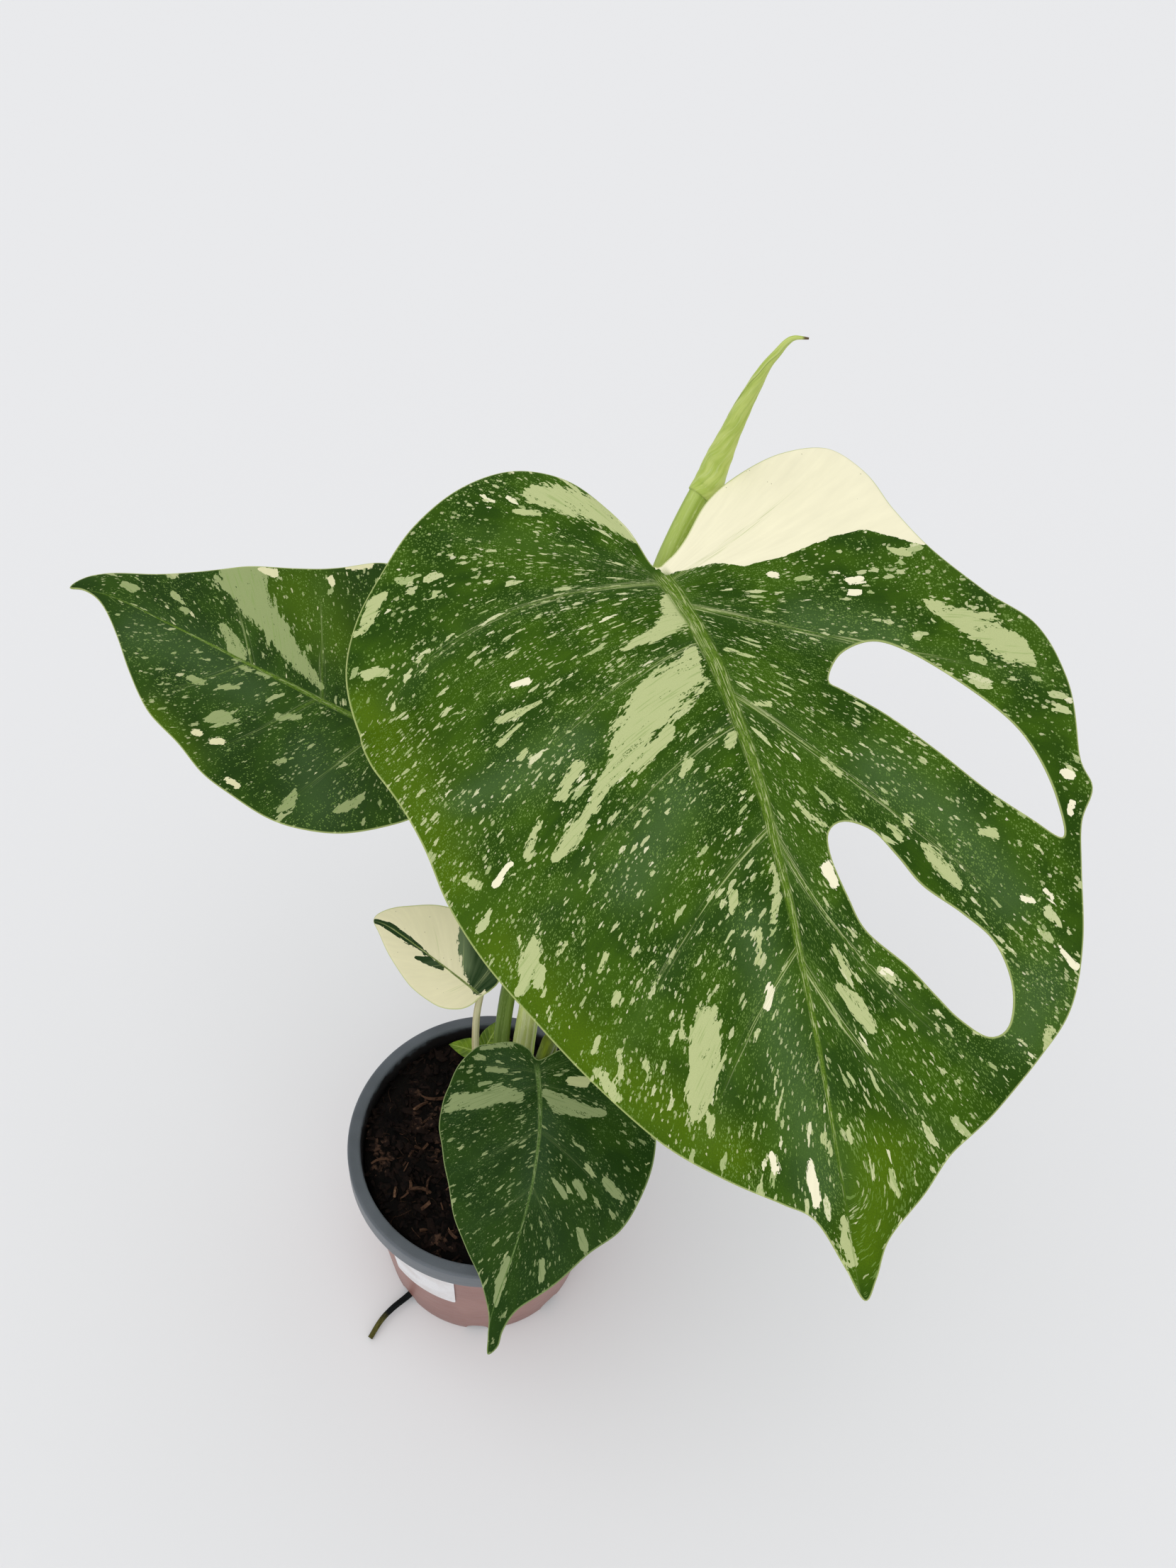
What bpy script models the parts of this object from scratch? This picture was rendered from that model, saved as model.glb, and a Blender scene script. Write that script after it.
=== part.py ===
# A potted thai constellation monstera: a nursery pot with soil, a short stem, five petioles,
# four open leaves, a rolled new leaf, a basal shoot and a root that leaves a drainage notch.
# Metres, +Z up. The origin is the middle of the pot's underside, and -Y is the front.

import math

import bmesh
import bpy
import numpy as np
from mathutils import Matrix, Vector, noise
from mathutils.geometry import delaunay_2d_cdt

MM = 0.001
GAP = 0.3 * MM

# Pot
POT_HEIGHT = 100 * MM
POT_SIDES = 48
RIM_RADIUS = 60 * MM
BASE_RADIUS = 46 * MM
WALL = 1.4 * MM
FLOOR = 2.0 * MM
LIP_WIDTH = 5.4 * MM
COLLAR_HEIGHT = 10 * MM
RIM_THICK = 1.6 * MM
SKIRT_THICK = 1.5 * MM
ROUNDING = 1.2 * MM
NOTCH_COUNT = 8
NOTCH_RADIUS = 5 * MM
NOTCH_PHASE = math.radians(4)
NOTCH_LENGTH = 16 * MM
NOTCH_INSET = 2 * MM
NOTCH_RISE = 1 * MM

# Soil
SOIL_TOP = 92.5 * MM
SOIL_CLEAR = 2 * GAP
SOIL_CROWN = 1.0 * MM
SOIL_LUMP = 1.6 * MM
SOIL_LUMPS_PER_METRE = 95
SOIL_CRUMBS_PER_METRE = 260
SOIL_RINGS = 9
SOIL_SIDES = 36

# Label
LABEL_START = math.radians(229)
LABEL_END = math.radians(263)
LABEL_TOP = 76 * MM
LABEL_HEIGHT = 33 * MM
LABEL_THICK = 0.5 * MM
LABEL_STEPS = 10

# Blades
BLADE_THICK = 0.8 * MM
RIB_HALF_WIDTH = 2.4 * MM
RIB_DEPTH = 1.9 * MM
RIB_START = 6 * MM
RIB_REACH = 0.93
RIB_NARROWING = 0.6
RIB_FADE = 0.75
VEIN_WIDTH = 5.0 * MM

# Rolled new leaf, leaflets and small stalks
SPIKE_SIDES = 14
SPIKE_TURNS = 0.9
SPIKE_STEP = 2.6 * MM
SPIKE_SEAT = 2 * MM
LEAFLET_ROWS = 7
LEAFLET_THICK = 1.0 * MM
LEAFLET_CUP = 0.25
LEAFLET_DROOP = 2.5 * MM
SMALL_SIDES = 8
STALK_STEP = 10 * MM
FINE_STEP = 4 * MM


def colour_material(name, colour, roughness):
    material = bpy.data.materials.new(name)
    material.use_nodes = True
    shader = material.node_tree.nodes["Principled BSDF"]
    shader.inputs["Base Color"].default_value = (*colour, 1.0)
    shader.inputs["Roughness"].default_value = roughness
    shader.inputs["Metallic"].default_value = 0.0
    return material


def mesh_object(name, verts, faces, material=None, sharp_deg=40):
    mesh = bpy.data.meshes.new(name)
    mesh.from_pydata([tuple(v) for v in verts], [], faces)
    mesh.update()
    mesh.shade_smooth()
    mesh.set_sharp_from_angle(angle=math.radians(sharp_deg))
    obj = bpy.data.objects.new(name, mesh)
    bpy.context.scene.collection.objects.link(obj)
    if material:
        mesh.materials.append(material)
    return obj


def as_cutter(obj):
    obj.hide_render = True
    obj.display_type = "WIRE"
    return obj


def cut(obj, cutter, operation="DIFFERENCE"):
    modifier = obj.modifiers.new("cut " + cutter.name, "BOOLEAN")
    modifier.operation = operation
    modifier.solver = "EXACT"
    modifier.object = cutter


def smooth_path(points, step, closed=False, fewest=1):
    """Even samples of a Catmull-Rom curve through the points."""
    points = [Vector(p) for p in points]
    count = len(points)
    if closed:
        ring = [points[-1]] + points + points[:2]
        spans = count
    else:
        ring = [2 * points[0] - points[1]] + points + [2 * points[-1] - points[-2]]
        spans = count - 1
    samples = []
    for i in range(spans):
        a, b, c, d = ring[i:i + 4]
        pieces = max(fewest, round((c - b).length / step))
        for k in range(pieces):
            t = k / pieces
            samples.append(0.5 * (2 * b + (c - a) * t + (2 * a - 5 * b + 4 * c - d) * t * t
                                  + (3 * b - a - 3 * c + d) * t ** 3))
    if not closed:
        samples.append(points[-1])
    return samples


def turned(name, profile, sides, material=None):
    """A solid of revolution. The profile is (radius, height), axis to axis, up the outer side."""
    verts = []
    faces = []
    rows = []
    for radius, height in profile:
        if radius == 0:
            rows.append([len(verts)] * sides)
            verts.append((0, 0, height))
            continue
        rows.append(list(range(len(verts), len(verts) + sides)))
        for k in range(sides):
            angle = 2 * math.pi * k / sides
            verts.append((radius * math.cos(angle), radius * math.sin(angle), height))
    for low, high in zip(rows, rows[1:]):
        for k in range(sides):
            n = (k + 1) % sides
            face = list(dict.fromkeys([low[k], low[n], high[n], high[k]]))
            faces.append(face)
    return mesh_object(name, verts, faces, material)


def tube(name, path, radius_at, sides, material=None, grow=0.0, channel=0.0, extend=0.0):
    """A closed stalk along a path, with an optional channel along its upper side."""
    path = [Vector(p) for p in path]
    if extend:
        path[0] = path[0] + (path[0] - path[1]).normalized() * extend
        path[-1] = path[-1] + (path[-1] - path[-2]).normalized() * extend
    verts = []
    faces = []
    side = Vector((1, 0, 0))
    last = len(path) - 1
    for i, point in enumerate(path):
        ahead = (path[min(i + 1, last)] - path[max(i - 1, 0)]).normalized()
        side = (side - ahead * side.dot(ahead)).normalized()
        up = ahead.cross(side)
        radius = radius_at(i / last) + grow
        for k in range(sides):
            angle = 2 * math.pi * k / sides
            dip = channel * max(0.0, -math.sin(angle)) ** 6
            reach = radius * (1 - dip)
            verts.append(point + side * (reach * math.cos(angle)) + up * (reach * math.sin(angle)))
    for i in range(last):
        for k in range(sides):
            n = (k + 1) % sides
            a, b = i * sides, (i + 1) * sides
            faces.append((a + k, a + n, b + n, b + k))
    faces.append(tuple(reversed(range(sides))))
    faces.append(tuple(range(last * sides, (last + 1) * sides)))
    return mesh_object(name, verts, faces, material)


# The surface of a blade. u runs along the midrib from the petiole and v runs across it to the
# leaf's left. Both are lengths on the blade, so an outline in (u, v) has the leaf's real size.
class Surface:
    def __init__(self, leaf):
        self.leaf = leaf
        length = leaf["length"]
        step = 0.5 * MM
        u = np.arange(-0.5 * length, 1.1 * length, step)
        t = u / length
        pitch = np.radians(leaf["slope"] + leaf["droop"] * t)
        along = np.clip(t, 0, 1)
        turn = leaf["sweep"] * (1 - (1 - along) ** leaf["ease"])
        turn = np.radians(turn + leaf["tip_turn"] * np.clip((t - 0.75) / 0.25, 0, 1.2) ** 2)
        tangent = np.stack([np.cos(pitch) * np.cos(turn), np.cos(pitch) * np.sin(turn), -np.sin(pitch)], 1)
        across = np.stack([-np.sin(turn), np.cos(turn), 0 * turn], 1)
        rib = np.zeros_like(tangent)
        rib[1:] = np.cumsum((tangent[1:] + tangent[:-1]) / 2 * step, axis=0)
        rib -= rib[np.argmin(abs(u))]
        place = Matrix.Rotation(math.radians(leaf["heading"]), 3, "Z")
        place = np.array(place @ Matrix.Rotation(math.radians(leaf["roll"]), 3, "X"))
        self.u = u
        self.rib = rib @ place.T + np.array(leaf["junction"])
        self.across = across @ place.T
        self.up = np.cross(tangent, across) @ place.T
        self.veins = [np.array(vein_curve(vein, VEIN_WIDTH)) for vein in leaf["veins"]]

    def read(self, table, u):
        return Vector([float(np.interp(u, self.u, table[:, k])) for k in range(3)])

    def vein_distance(self, u, v):
        nearest = 1.0
        for curve in self.veins:
            start, end = curve[:-1], curve[1:]
            span = end - start
            reach = np.clip(((u - start[:, 0]) * span[:, 0] + (v - start[:, 1]) * span[:, 1])
                            / (span ** 2).sum(1), 0, 1)
            gap = np.hypot(u - start[:, 0] - reach * span[:, 0], v - start[:, 1] - reach * span[:, 1])
            nearest = min(nearest, float(gap.min()))
        return nearest

    def height(self, u, v):
        """How far the blade's middle layer stands above the flat cross line."""
        leaf = self.leaf
        fold = math.tan(math.radians(leaf["fold"])) * abs(v)
        curl = leaf["curl"] * v * v / 2
        edge = min(1.0, abs(v) / leaf["half_width"]) ** 2
        side = 1.0 if v > 0 else 0.35
        wave = leaf["wave"] * edge * math.sin(2 * math.pi * (u / leaf["wave_length"] + side))
        valley = leaf["valley"] * math.exp(-(self.vein_distance(u, v) / VEIN_WIDTH) ** 2)
        channel = leaf["valley"] * math.exp(-(v / RIB_HALF_WIDTH) ** 2)
        return fold - curl + wave - valley - channel

    def point(self, u, v, lift=0.0):
        """A point of the blade, lifted along the cross line's own upward direction."""
        return (self.read(self.rib, u) + v * self.read(self.across, u)
                + (self.height(u, v) + lift) * self.read(self.up, u))


def vein_curve(vein, step):
    """A lateral vein leaves the midrib at the start and bends through the middle point's pull."""
    start, pull, end = [Vector(p) * MM for p in vein]
    pieces = max(3, round((end - start).length / step))
    return [tuple((1 - t) ** 2 * start + 2 * t * (1 - t) * pull + t * t * end)
            for t in (k / pieces for k in range(pieces + 1))]


def inside(u, v, loop):
    result = False
    for (u0, v0), (u1, v1) in zip(loop, loop[1:] + loop[:1]):
        if (v0 > v) != (v1 > v) and u < (u1 - u0) * (v - v0) / (v1 - v0) + u0:
            result = not result
    return result


def add_line(points, edges, line, closed=False):
    first = len(points)
    points.extend(Vector((p[0], p[1])) for p in line)
    last = len(points) - 1
    edges.extend((k, k + 1) for k in range(first, last))
    if closed:
        edges.append((last, first))


def blade_triangles(leaf, surface):
    """Triangles of the flat blade in (u, v), fitted to its edge, holes, midrib and lateral veins."""
    step = leaf["mesh_step"]
    outline = [tuple(p) for p in smooth_path([Vector(p) * MM for p in leaf["outline"]], step, True)]
    holes = [[tuple(p) for p in smooth_path([Vector(p) * MM for p in hole], step, True)]
             for hole in leaf["holes"]]

    def on_blade(u, v):
        return inside(u, v, outline) and not any(inside(u, v, hole) for hole in holes)

    points = []
    edges = []
    add_line(points, edges, outline, closed=True)
    for hole in holes:
        add_line(points, edges, hole, closed=True)
    length = leaf["length"]
    rib_count = round(RIB_REACH * length / step)
    for flank in (-1, 0, 1):
        line = []
        for k in range(rib_count + 1):
            u = RIB_REACH * length * k / rib_count
            line.append((u, flank * rib_half_width(leaf, u)))
        add_line(points, edges, line)
    for curve in surface.veins:
        clear = 1.2 * RIB_HALF_WIDTH
        line = [p for p in map(tuple, curve) if abs(p[1]) > clear and on_blade(*p)]
        margin = [p for p in line if all(math.dist(p, q) > 0.45 * step for q in outline)]
        if len(margin) > 1:
            add_line(points, edges, margin)

    taken = np.array([tuple(p) for p in points])
    rows = int(2.2 * length / (step * math.sqrt(0.75)))
    for row in range(-rows, rows):
        for column in range(-rows, rows):
            u = (column + 0.5 * (row % 2)) * step
            v = row * step * math.sqrt(0.75)
            if not on_blade(u, v):
                continue
            if np.hypot(taken[:, 0] - u, taken[:, 1] - v).min() > 0.55 * step:
                points.append(Vector((u, v)))

    verts, _, faces, _, _, _ = delaunay_2d_cdt(points, edges, [], 0, 1e-7)
    kept = []
    for face in faces:
        middle = sum((verts[i] for i in face), Vector((0, 0))) / 3
        if on_blade(*middle):
            kept.append(tuple(face))
    return verts, kept


def rib_half_width(leaf, u):
    return RIB_HALF_WIDTH * leaf["rib_scale"] * (1 - RIB_NARROWING * max(0.0, u) / leaf["length"])


def rib_ridge(leaf, u, v):
    """Depth of the midrib's ridge below the blade. It fades out over the petiole's end."""
    start = min(1.0, max(0.0, (u - leaf["petiole_clear"]) / RIB_START))
    fade = start * (1 - RIB_FADE * max(0.0, u) / leaf["length"])
    return RIB_DEPTH * leaf["rib_scale"] * fade * max(0.0, 1 - abs(v) / rib_half_width(leaf, u))


def leaf_blade(name, leaf, material):
    surface = Surface(leaf)
    flat, triangles = blade_triangles(leaf, surface)
    used = sorted({i for face in triangles for i in face})
    number = {old: new for new, old in enumerate(used)}
    count = len(used)
    half = BLADE_THICK / 2
    top = [surface.point(flat[i].x, flat[i].y, half) for i in used]
    under = [surface.point(flat[i].x, flat[i].y, -half - rib_ridge(leaf, flat[i].x, flat[i].y))
             for i in used]
    faces = [tuple(number[i] for i in face) for face in triangles]
    ways = {(a, b) for face in faces for a, b in zip(face, face[1:] + face[:1])}
    solid = list(faces)
    solid += [tuple(i + count for i in reversed(face)) for face in faces]
    for a, b in sorted(ways):
        if (b, a) not in ways:
            solid.append((b, a, a + count))
            solid.append((b, a + count, b + count))
    return mesh_object(name, top + under, solid, material, 50)


# The four open leaves. Outlines, holes and veins are (u, v) in millimetres on the blade.
LARGE = {
    "junction": (37 * MM, 54 * MM, 363 * MM), "heading": -51, "slope": 15, "droop": 25, "roll": 10,
    "sweep": -25, "ease": 4, "tip_turn": 0, "fold": 4, "curl": 2.5, "length": 213.5 * MM,
    "half_width": 95 * MM, "wave": 1.6 * MM, "wave_length": 62 * MM, "valley": 1.0 * MM,
    "mesh_step": 8.0 * MM, "rib_scale": 1.0, "petiole_clear": 6 * MM,
    "colour": (0.035, 0.105, 0.022),
    "outline": [(-4, 0), (-20, 1), (-38, -2), (-50, -9), (-57, -20), (-58, -36), (-53, -54), (-44, -70),
                (-34, -84), (-20, -95), (-2, -101), (18, -102), (36, -100), (65, -95), (86, -92),
                (106, -85), (127, -73), (145, -61), (163, -46), (175, -31), (184, -17), (190, -9),
                (204, -3), (214, 1), (208, 5), (198, 10), (188, 21), (179, 30), (170, 44), (158, 59),
                (147, 70), (130, 78), (111, 84), (99, 88), (91, 94), (82, 93), (62, 100), (47, 100),
                (36, 89), (23, 80), (11, 78), (-1, 81), (-14, 77), (-19, 61), (-18, 42), (-14, 27),
                (-6, 13), (-3, 5)],
    "holes": [[(48, 29), (42, 36), (41, 47), (47, 57), (58, 67), (70, 76), (80, 80), (92, 82),
               (102, 81), (96, 73), (86, 62), (74, 52), (61, 41), (52, 32)],
              [(89, 15), (87, 20), (91, 27), (99, 32), (108, 37), (117, 46), (126, 53), (138, 55),
               (148, 52), (150, 46), (144, 39), (137, 34), (128, 28), (117, 19), (107, 16), (96, 14)]],
    "veins": [[(3, 0), (-24, -20), (-46, -46)], [(4, 0), (-22, -50), (-4, -90)],
              [(25, 0), (26, -38), (66, -84)], [(52, 0), (62, -34), (104, -74)],
              [(84, 0), (98, -24), (138, -54)], [(118, 0), (132, -16), (162, -34)],
              [(3, 0), (2, 34), (-8, 66)], [(12, 0), (44, 36), (58, 92)],
              [(42, 0), (74, 22), (126, 68)], [(82, 0), (122, 6), (160, 46)],
              [(122, 0), (146, 8), (174, 28)]],
}
LEFT = {
    "junction": (-38 * MM, 45 * MM, 286 * MM), "heading": 156, "slope": -8, "droop": 15, "roll": -30,
    "sweep": -2, "ease": 1, "tip_turn": 25, "fold": -8, "curl": 3, "length": 153.5 * MM,
    "half_width": 50 * MM, "wave": 1.2 * MM, "wave_length": 48 * MM, "valley": 0.8 * MM,
    "mesh_step": 6.8 * MM, "rib_scale": 0.8, "petiole_clear": 5 * MM,
    "colour": (0.035, 0.105, 0.022),
    "outline": [(-4, 0), (-11, -3), (-19, -9), (-22, -20), (-17, -34), (-7, -46), (7, -54), (22, -58),
                (37, -59), (50, -57), (64, -48), (78, -40), (95, -32), (109, -23), (125, -14),
                (142, -8), (149, -5), (154, -1), (147, 0), (136, 4), (122, 13), (110, 22), (96, 31),
                (79, 36), (65, 41), (51, 43), (36, 44), (22, 42), (8, 37), (-5, 28), (-14, 19),
                (-17, 11), (-12, 5)],
    "holes": [],
    "veins": [[(3, 0), (2, -24), (-8, -38)], [(10, 0), (24, -30), (36, -52)],
              [(36, 0), (50, -22), (66, -40)], [(66, 0), (80, -14), (97, -25)],
              [(3, 0), (-2, 12), (-8, 20)], [(12, 0), (22, 20), (32, 38)],
              [(38, 0), (50, 18), (66, 34)], [(68, 0), (80, 13), (98, 25)]],
}
FRONT = {
    "junction": (17 * MM, -4 * MM, 170 * MM), "heading": -75.5, "slope": 9, "droop": 25, "roll": 10,
    "sweep": -41.5, "ease": 1.5, "tip_turn": 38, "fold": 0, "curl": 4, "length": 103.5 * MM,
    "half_width": 40 * MM, "wave": 0.9 * MM, "wave_length": 36 * MM, "valley": 0.7 * MM,
    "mesh_step": 5.0 * MM, "rib_scale": 0.65, "petiole_clear": 4 * MM,
    "colour": (0.035, 0.105, 0.022),
    "outline": [(-3, 1), (-8, -2), (-12, -8), (-13, -16), (-13, -22), (-7, -30), (4, -36), (14, -38.5),
                (23, -39), (33, -37), (43, -35), (51, -32), (64, -26), (74, -17), (82, -7.5), (90, -1.5),
                (98, 0), (104, 0), (101, 4), (94, 5.5), (84, 9), (72, 18), (60, 26), (51, 35), (41, 40),
                (30, 43), (18, 43), (7, 40), (-1, 34), (-7, 26), (-8, 17), (-5, 9)],
    "holes": [],
    "veins": [[(2, 0), (-4, -14), (-6, -23)], [(7, 0), (12, -19), (20, -34)],
              [(24, 0), (32, -14), (44, -30)], [(44, 0), (54, -9), (66, -19)],
              [(2, 0), (-1, 16), (-2, 27)], [(7, 0), (14, 20), (20, 38)],
              [(24, 0), (34, 16), (46, 33)], [(44, 0), (54, 9), (66, 18)]],
}
SMALL = {
    "junction": (-10 * MM, 22 * MM, 175 * MM), "heading": 143, "slope": -6, "droop": 15, "roll": -40,
    "sweep": 8.5, "ease": 1, "tip_turn": 23, "fold": -5, "curl": 6, "length": 58.5 * MM,
    "half_width": 18 * MM, "wave": 0.6 * MM, "wave_length": 22 * MM, "valley": 0.4 * MM,
    "mesh_step": 3.8 * MM, "rib_scale": 0.42, "petiole_clear": 2.6 * MM,
    "colour": (0.78, 0.75, 0.5),
    "outline": [(-2, 1), (-4, -4), (-4.5, -9), (-1, -14), (6, -18.5), (15, -21), (26, -21), (35, -18.5),
                (45, -12.5), (54, -6), (59, -0.5), (54, 4.5), (45, 9.5), (35, 13.5), (25, 15.5), (15, 15.5),
                (8, 13.5), (2, 9.5), (-1, 5)],
    "holes": [],
    "veins": [[(2, 0), (1, -8), (2, -15)], [(8, 0), (14, -9), (21, -17)], [(20, 0), (27, -7), (35, -12)],
              [(6, 0), (9, 6), (14, 11.5)], [(18, 0), (24, 6), (32, 10)]],
}

# Stalks: (x, y, z) in millimetres, from inside the stem to just under the blade
STEM_PATH = [(9, 14, 66), (9, 14, 84), (9, 14.5, 100), (9, 15, 118)]
PETIOLE_LARGE = [(9, 15, 108), (9.5, 16, 130), (10.5, 20, 165), (15, 30, 225), (22.5, 43, 287),
                 (30.5, 54, 328)]
PETIOLE_LEFT = [(6, 15, 100), (1.8, 16, 122), (0.9, 20, 148), (1.6, 25, 168), (2.6, 28.5, 186),
                (0, 34, 212), (-11.5, 42, 243), (-26.5, 48.5, 264)]
PETIOLE_FRONT = [(13, 13, 98), (17.5, 13, 122), (20.3, 13.3, 145), (21, 12.2, 160.5), (20.4, 8.2, 167.5)]
PETIOLE_SMALL = [(5, 14, 99.5), (-2.5, 14.6, 103), (-7.2, 16.3, 114), (-9.6, 19, 136), (-10, 21.5, 158)]
PETIOLE_NEW = [(10.5, 18, 106), (11, 24.5, 130), (12.5, 28.5, 165), (17, 38.5, 225), (25.5, 51.5, 290),
               (33, 64, 327), (38.5, 76, 347), (42.5, 83.8, 357.5), (46.7, 89.9, 367.2)]
SPIKE_PATH = [(49.5, 92.7, 372), (50.8, 94, 378), (54, 94.4, 391.3),
              (57.3, 94.5, 402.4), (59.9, 94.3, 410.5), (62.4, 94.5, 415), (64.3, 95, 418),
              (66.5, 95.3, 419.7), (70.5, 95.6, 419.9)]
SPIKE_GIRTH = [(0, 4.3), (0.12, 4.7), (0.22, 4.1), (0.42, 3.1), (0.62, 2.2), (0.78, 1.4), (0.9, 0.95),
               (1, 0.3)]
ROOT_PATH = [(-24, -29, 6), (-31, -36.5, 3.8), (-36.5, -42.5, 4.2), (-41, -48.5, 3.2), (-44.5, -56, 1.25)]
SHOOT_PATH = [(-8, 38, 84), (-8, 38.5, 93), (-9, 40, 101)]
LEAFLETS = {
    "leaflet_back": {"base": (-9, 39.5, 99.5), "tip": (-3, 47, 117), "half_width": 4.6 * MM},
    "leaflet_side": {"base": (-8.6, 39.5, 98.5), "tip": (-24, 41, 103), "half_width": 5.4 * MM},
}

# The stem and petioles, in the order in which each gives way to the earlier ones
STALKS = {
    "stem": {"sides": 16, "channel": 0.0, "colour": (0.17, 0.26, 0.08)},
    "petiole_large": {"path": PETIOLE_LARGE, "leaf": LARGE, "bend": 12 * MM, "base": 4.1 * MM,
                      "top": 3.3 * MM, "flare": 1.2 * MM, "sides": 12, "channel": 0.22,
                      "colour": (0.33, 0.42, 0.16)},
    "petiole_left": {"path": PETIOLE_LEFT, "leaf": LEFT, "bend": 9 * MM, "base": 3.4 * MM,
                     "top": 2.7 * MM, "flare": 1.0 * MM, "sides": 12, "channel": 0.22,
                     "colour": (0.14, 0.28, 0.07)},
    "petiole_front": {"path": PETIOLE_FRONT, "leaf": FRONT, "bend": 3 * MM, "base": 4.2 * MM,
                      "top": 2.5 * MM, "flare": 0.3 * MM, "sides": 12, "channel": 0.22,
                      "colour": (0.12, 0.18, 0.03)},
    "petiole_new": {"path": PETIOLE_NEW, "leaf": None, "bend": 0.0, "base": 3.0 * MM,
                    "top": 3.6 * MM, "flare": 0.6 * MM, "sides": 12, "channel": 0.0,
                    "colour": (0.3, 0.46, 0.1)},
    "petiole_small": {"path": PETIOLE_SMALL, "leaf": SMALL, "bend": 3 * MM, "base": 1.75 * MM,
                      "top": 1.35 * MM, "flare": 0.8 * MM, "sides": 10, "channel": 0.0,
                      "colour": (0.62, 0.6, 0.4)},
}


def stalk_path(points, surface=None, bend=0.0, radius=0.0):
    """A petiole's route. It ends square to the blade, just under its lower face, also where that arches."""
    route = [Vector(p) * MM for p in points]
    if not surface:
        return smooth_path(route, STALK_STEP, fewest=2)
    arch = radius * max(0.0, -math.tan(math.radians(surface.leaf["fold"])))
    end = surface.point(0.0, 0.0, -BLADE_THICK / 2 - GAP - arch)
    up = surface.read(surface.up, 0.0)
    collar = 0.6 * radius
    return smooth_path(route + [end - up * bend, end - up * collar], STALK_STEP, fewest=2) + [end]


def taper(base, top, flare):
    """Radius along a petiole: a sheathing base, an even stalk and a slightly swollen top joint."""
    def radius(t):
        sheath = flare * math.exp(-(t / 0.12) ** 2)
        joint = 0.12 * top * math.exp(-((1 - t) / 0.06) ** 2)
        return base + (top - base) * t + sheath + joint
    return radius


def outer_wall(height):
    """Radius of the wall's outer face, which leans out evenly from the base to the lip."""
    lean = (RIM_RADIUS - LIP_WIDTH + WALL - BASE_RADIUS) / POT_HEIGHT
    return BASE_RADIUS + lean * height


def make_pot(material):
    shoulder = POT_HEIGHT - RIM_THICK
    skirt = RIM_RADIUS - SKIRT_THICK
    skirt_foot = POT_HEIGHT - COLLAR_HEIGHT
    inner_lip = RIM_RADIUS - LIP_WIDTH
    profile = [
        (0, 0), (BASE_RADIUS - ROUNDING, 0), (BASE_RADIUS, ROUNDING),
        (outer_wall(shoulder), shoulder), (skirt, shoulder),
        (skirt, skirt_foot), (RIM_RADIUS - ROUNDING / 4, skirt_foot),
        (RIM_RADIUS, skirt_foot + ROUNDING / 2), (RIM_RADIUS, POT_HEIGHT - ROUNDING),
        (RIM_RADIUS - ROUNDING, POT_HEIGHT), (inner_lip + ROUNDING, POT_HEIGHT),
        (inner_lip, POT_HEIGHT - ROUNDING), (outer_wall(FLOOR) - WALL, FLOOR), (0, FLOOR)]
    pot = turned("pot", profile, POT_SIDES, material)
    for k in range(NOTCH_COUNT):
        angle = NOTCH_PHASE + 2 * math.pi * k / NOTCH_COUNT
        bpy.ops.mesh.primitive_cylinder_add(vertices=12, radius=NOTCH_RADIUS, depth=NOTCH_LENGTH)
        notch = as_cutter(bpy.context.object)
        notch.name = "notch_cutter_%d" % k
        notch.rotation_euler = (0, math.pi / 2, angle)
        reach = BASE_RADIUS - NOTCH_INSET
        notch.location = (reach * math.cos(angle), reach * math.sin(angle), NOTCH_RISE)
        cut(pot, notch)
    return pot


def make_soil(material):
    low = FLOOR + GAP
    bottom = outer_wall(low) - WALL - SOIL_CLEAR
    top = outer_wall(SOIL_TOP) - WALL - SOIL_CLEAR
    profile = [(0, low), (bottom, low), (top, SOIL_TOP - ROUNDING / 2)]
    for ring in range(1, SOIL_RINGS + 1):
        profile.append((top * (1 - ring / (SOIL_RINGS + 1)), SOIL_TOP))
    profile.append((0, SOIL_TOP))
    soil = turned("soil", profile, SOIL_SIDES, material)
    for vertex in soil.data.vertices:
        if vertex.co.z < SOIL_TOP - ROUNDING / 4:
            continue
        lump = noise.noise(vertex.co * SOIL_LUMPS_PER_METRE)
        crumb = 0.6 * noise.noise(vertex.co * SOIL_CRUMBS_PER_METRE)
        inward = 1 - math.hypot(vertex.co.x, vertex.co.y) / top
        vertex.co.z += SOIL_LUMP * (lump + crumb) * min(1.0, 4 * inward) + SOIL_CROWN * inward
    return soil


def make_label(material):
    """The label follows the wall's polygon, whose flats lie just inside its radius."""
    verts = []
    faces = []
    for k in range(LABEL_STEPS + 1):
        angle = LABEL_START + (LABEL_END - LABEL_START) * k / LABEL_STEPS
        for height in (LABEL_TOP - LABEL_HEIGHT, LABEL_TOP):
            wall = outer_wall(height) + GAP
            for radius in (wall, wall + LABEL_THICK):
                verts.append((radius * math.cos(angle), radius * math.sin(angle), height))
    for k in range(LABEL_STEPS):
        a, b = 4 * k, 4 * k + 4
        faces += [(a, a + 2, b + 2, b), (a + 1, b + 1, b + 3, a + 3),
                  (a, b, b + 1, a + 1), (a + 2, a + 3, b + 3, b + 2)]
    end = 4 * LABEL_STEPS
    faces += [(0, 1, 3, 2), (end, end + 2, end + 3, end + 1)]
    return mesh_object("label", verts, faces, material)


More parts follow.
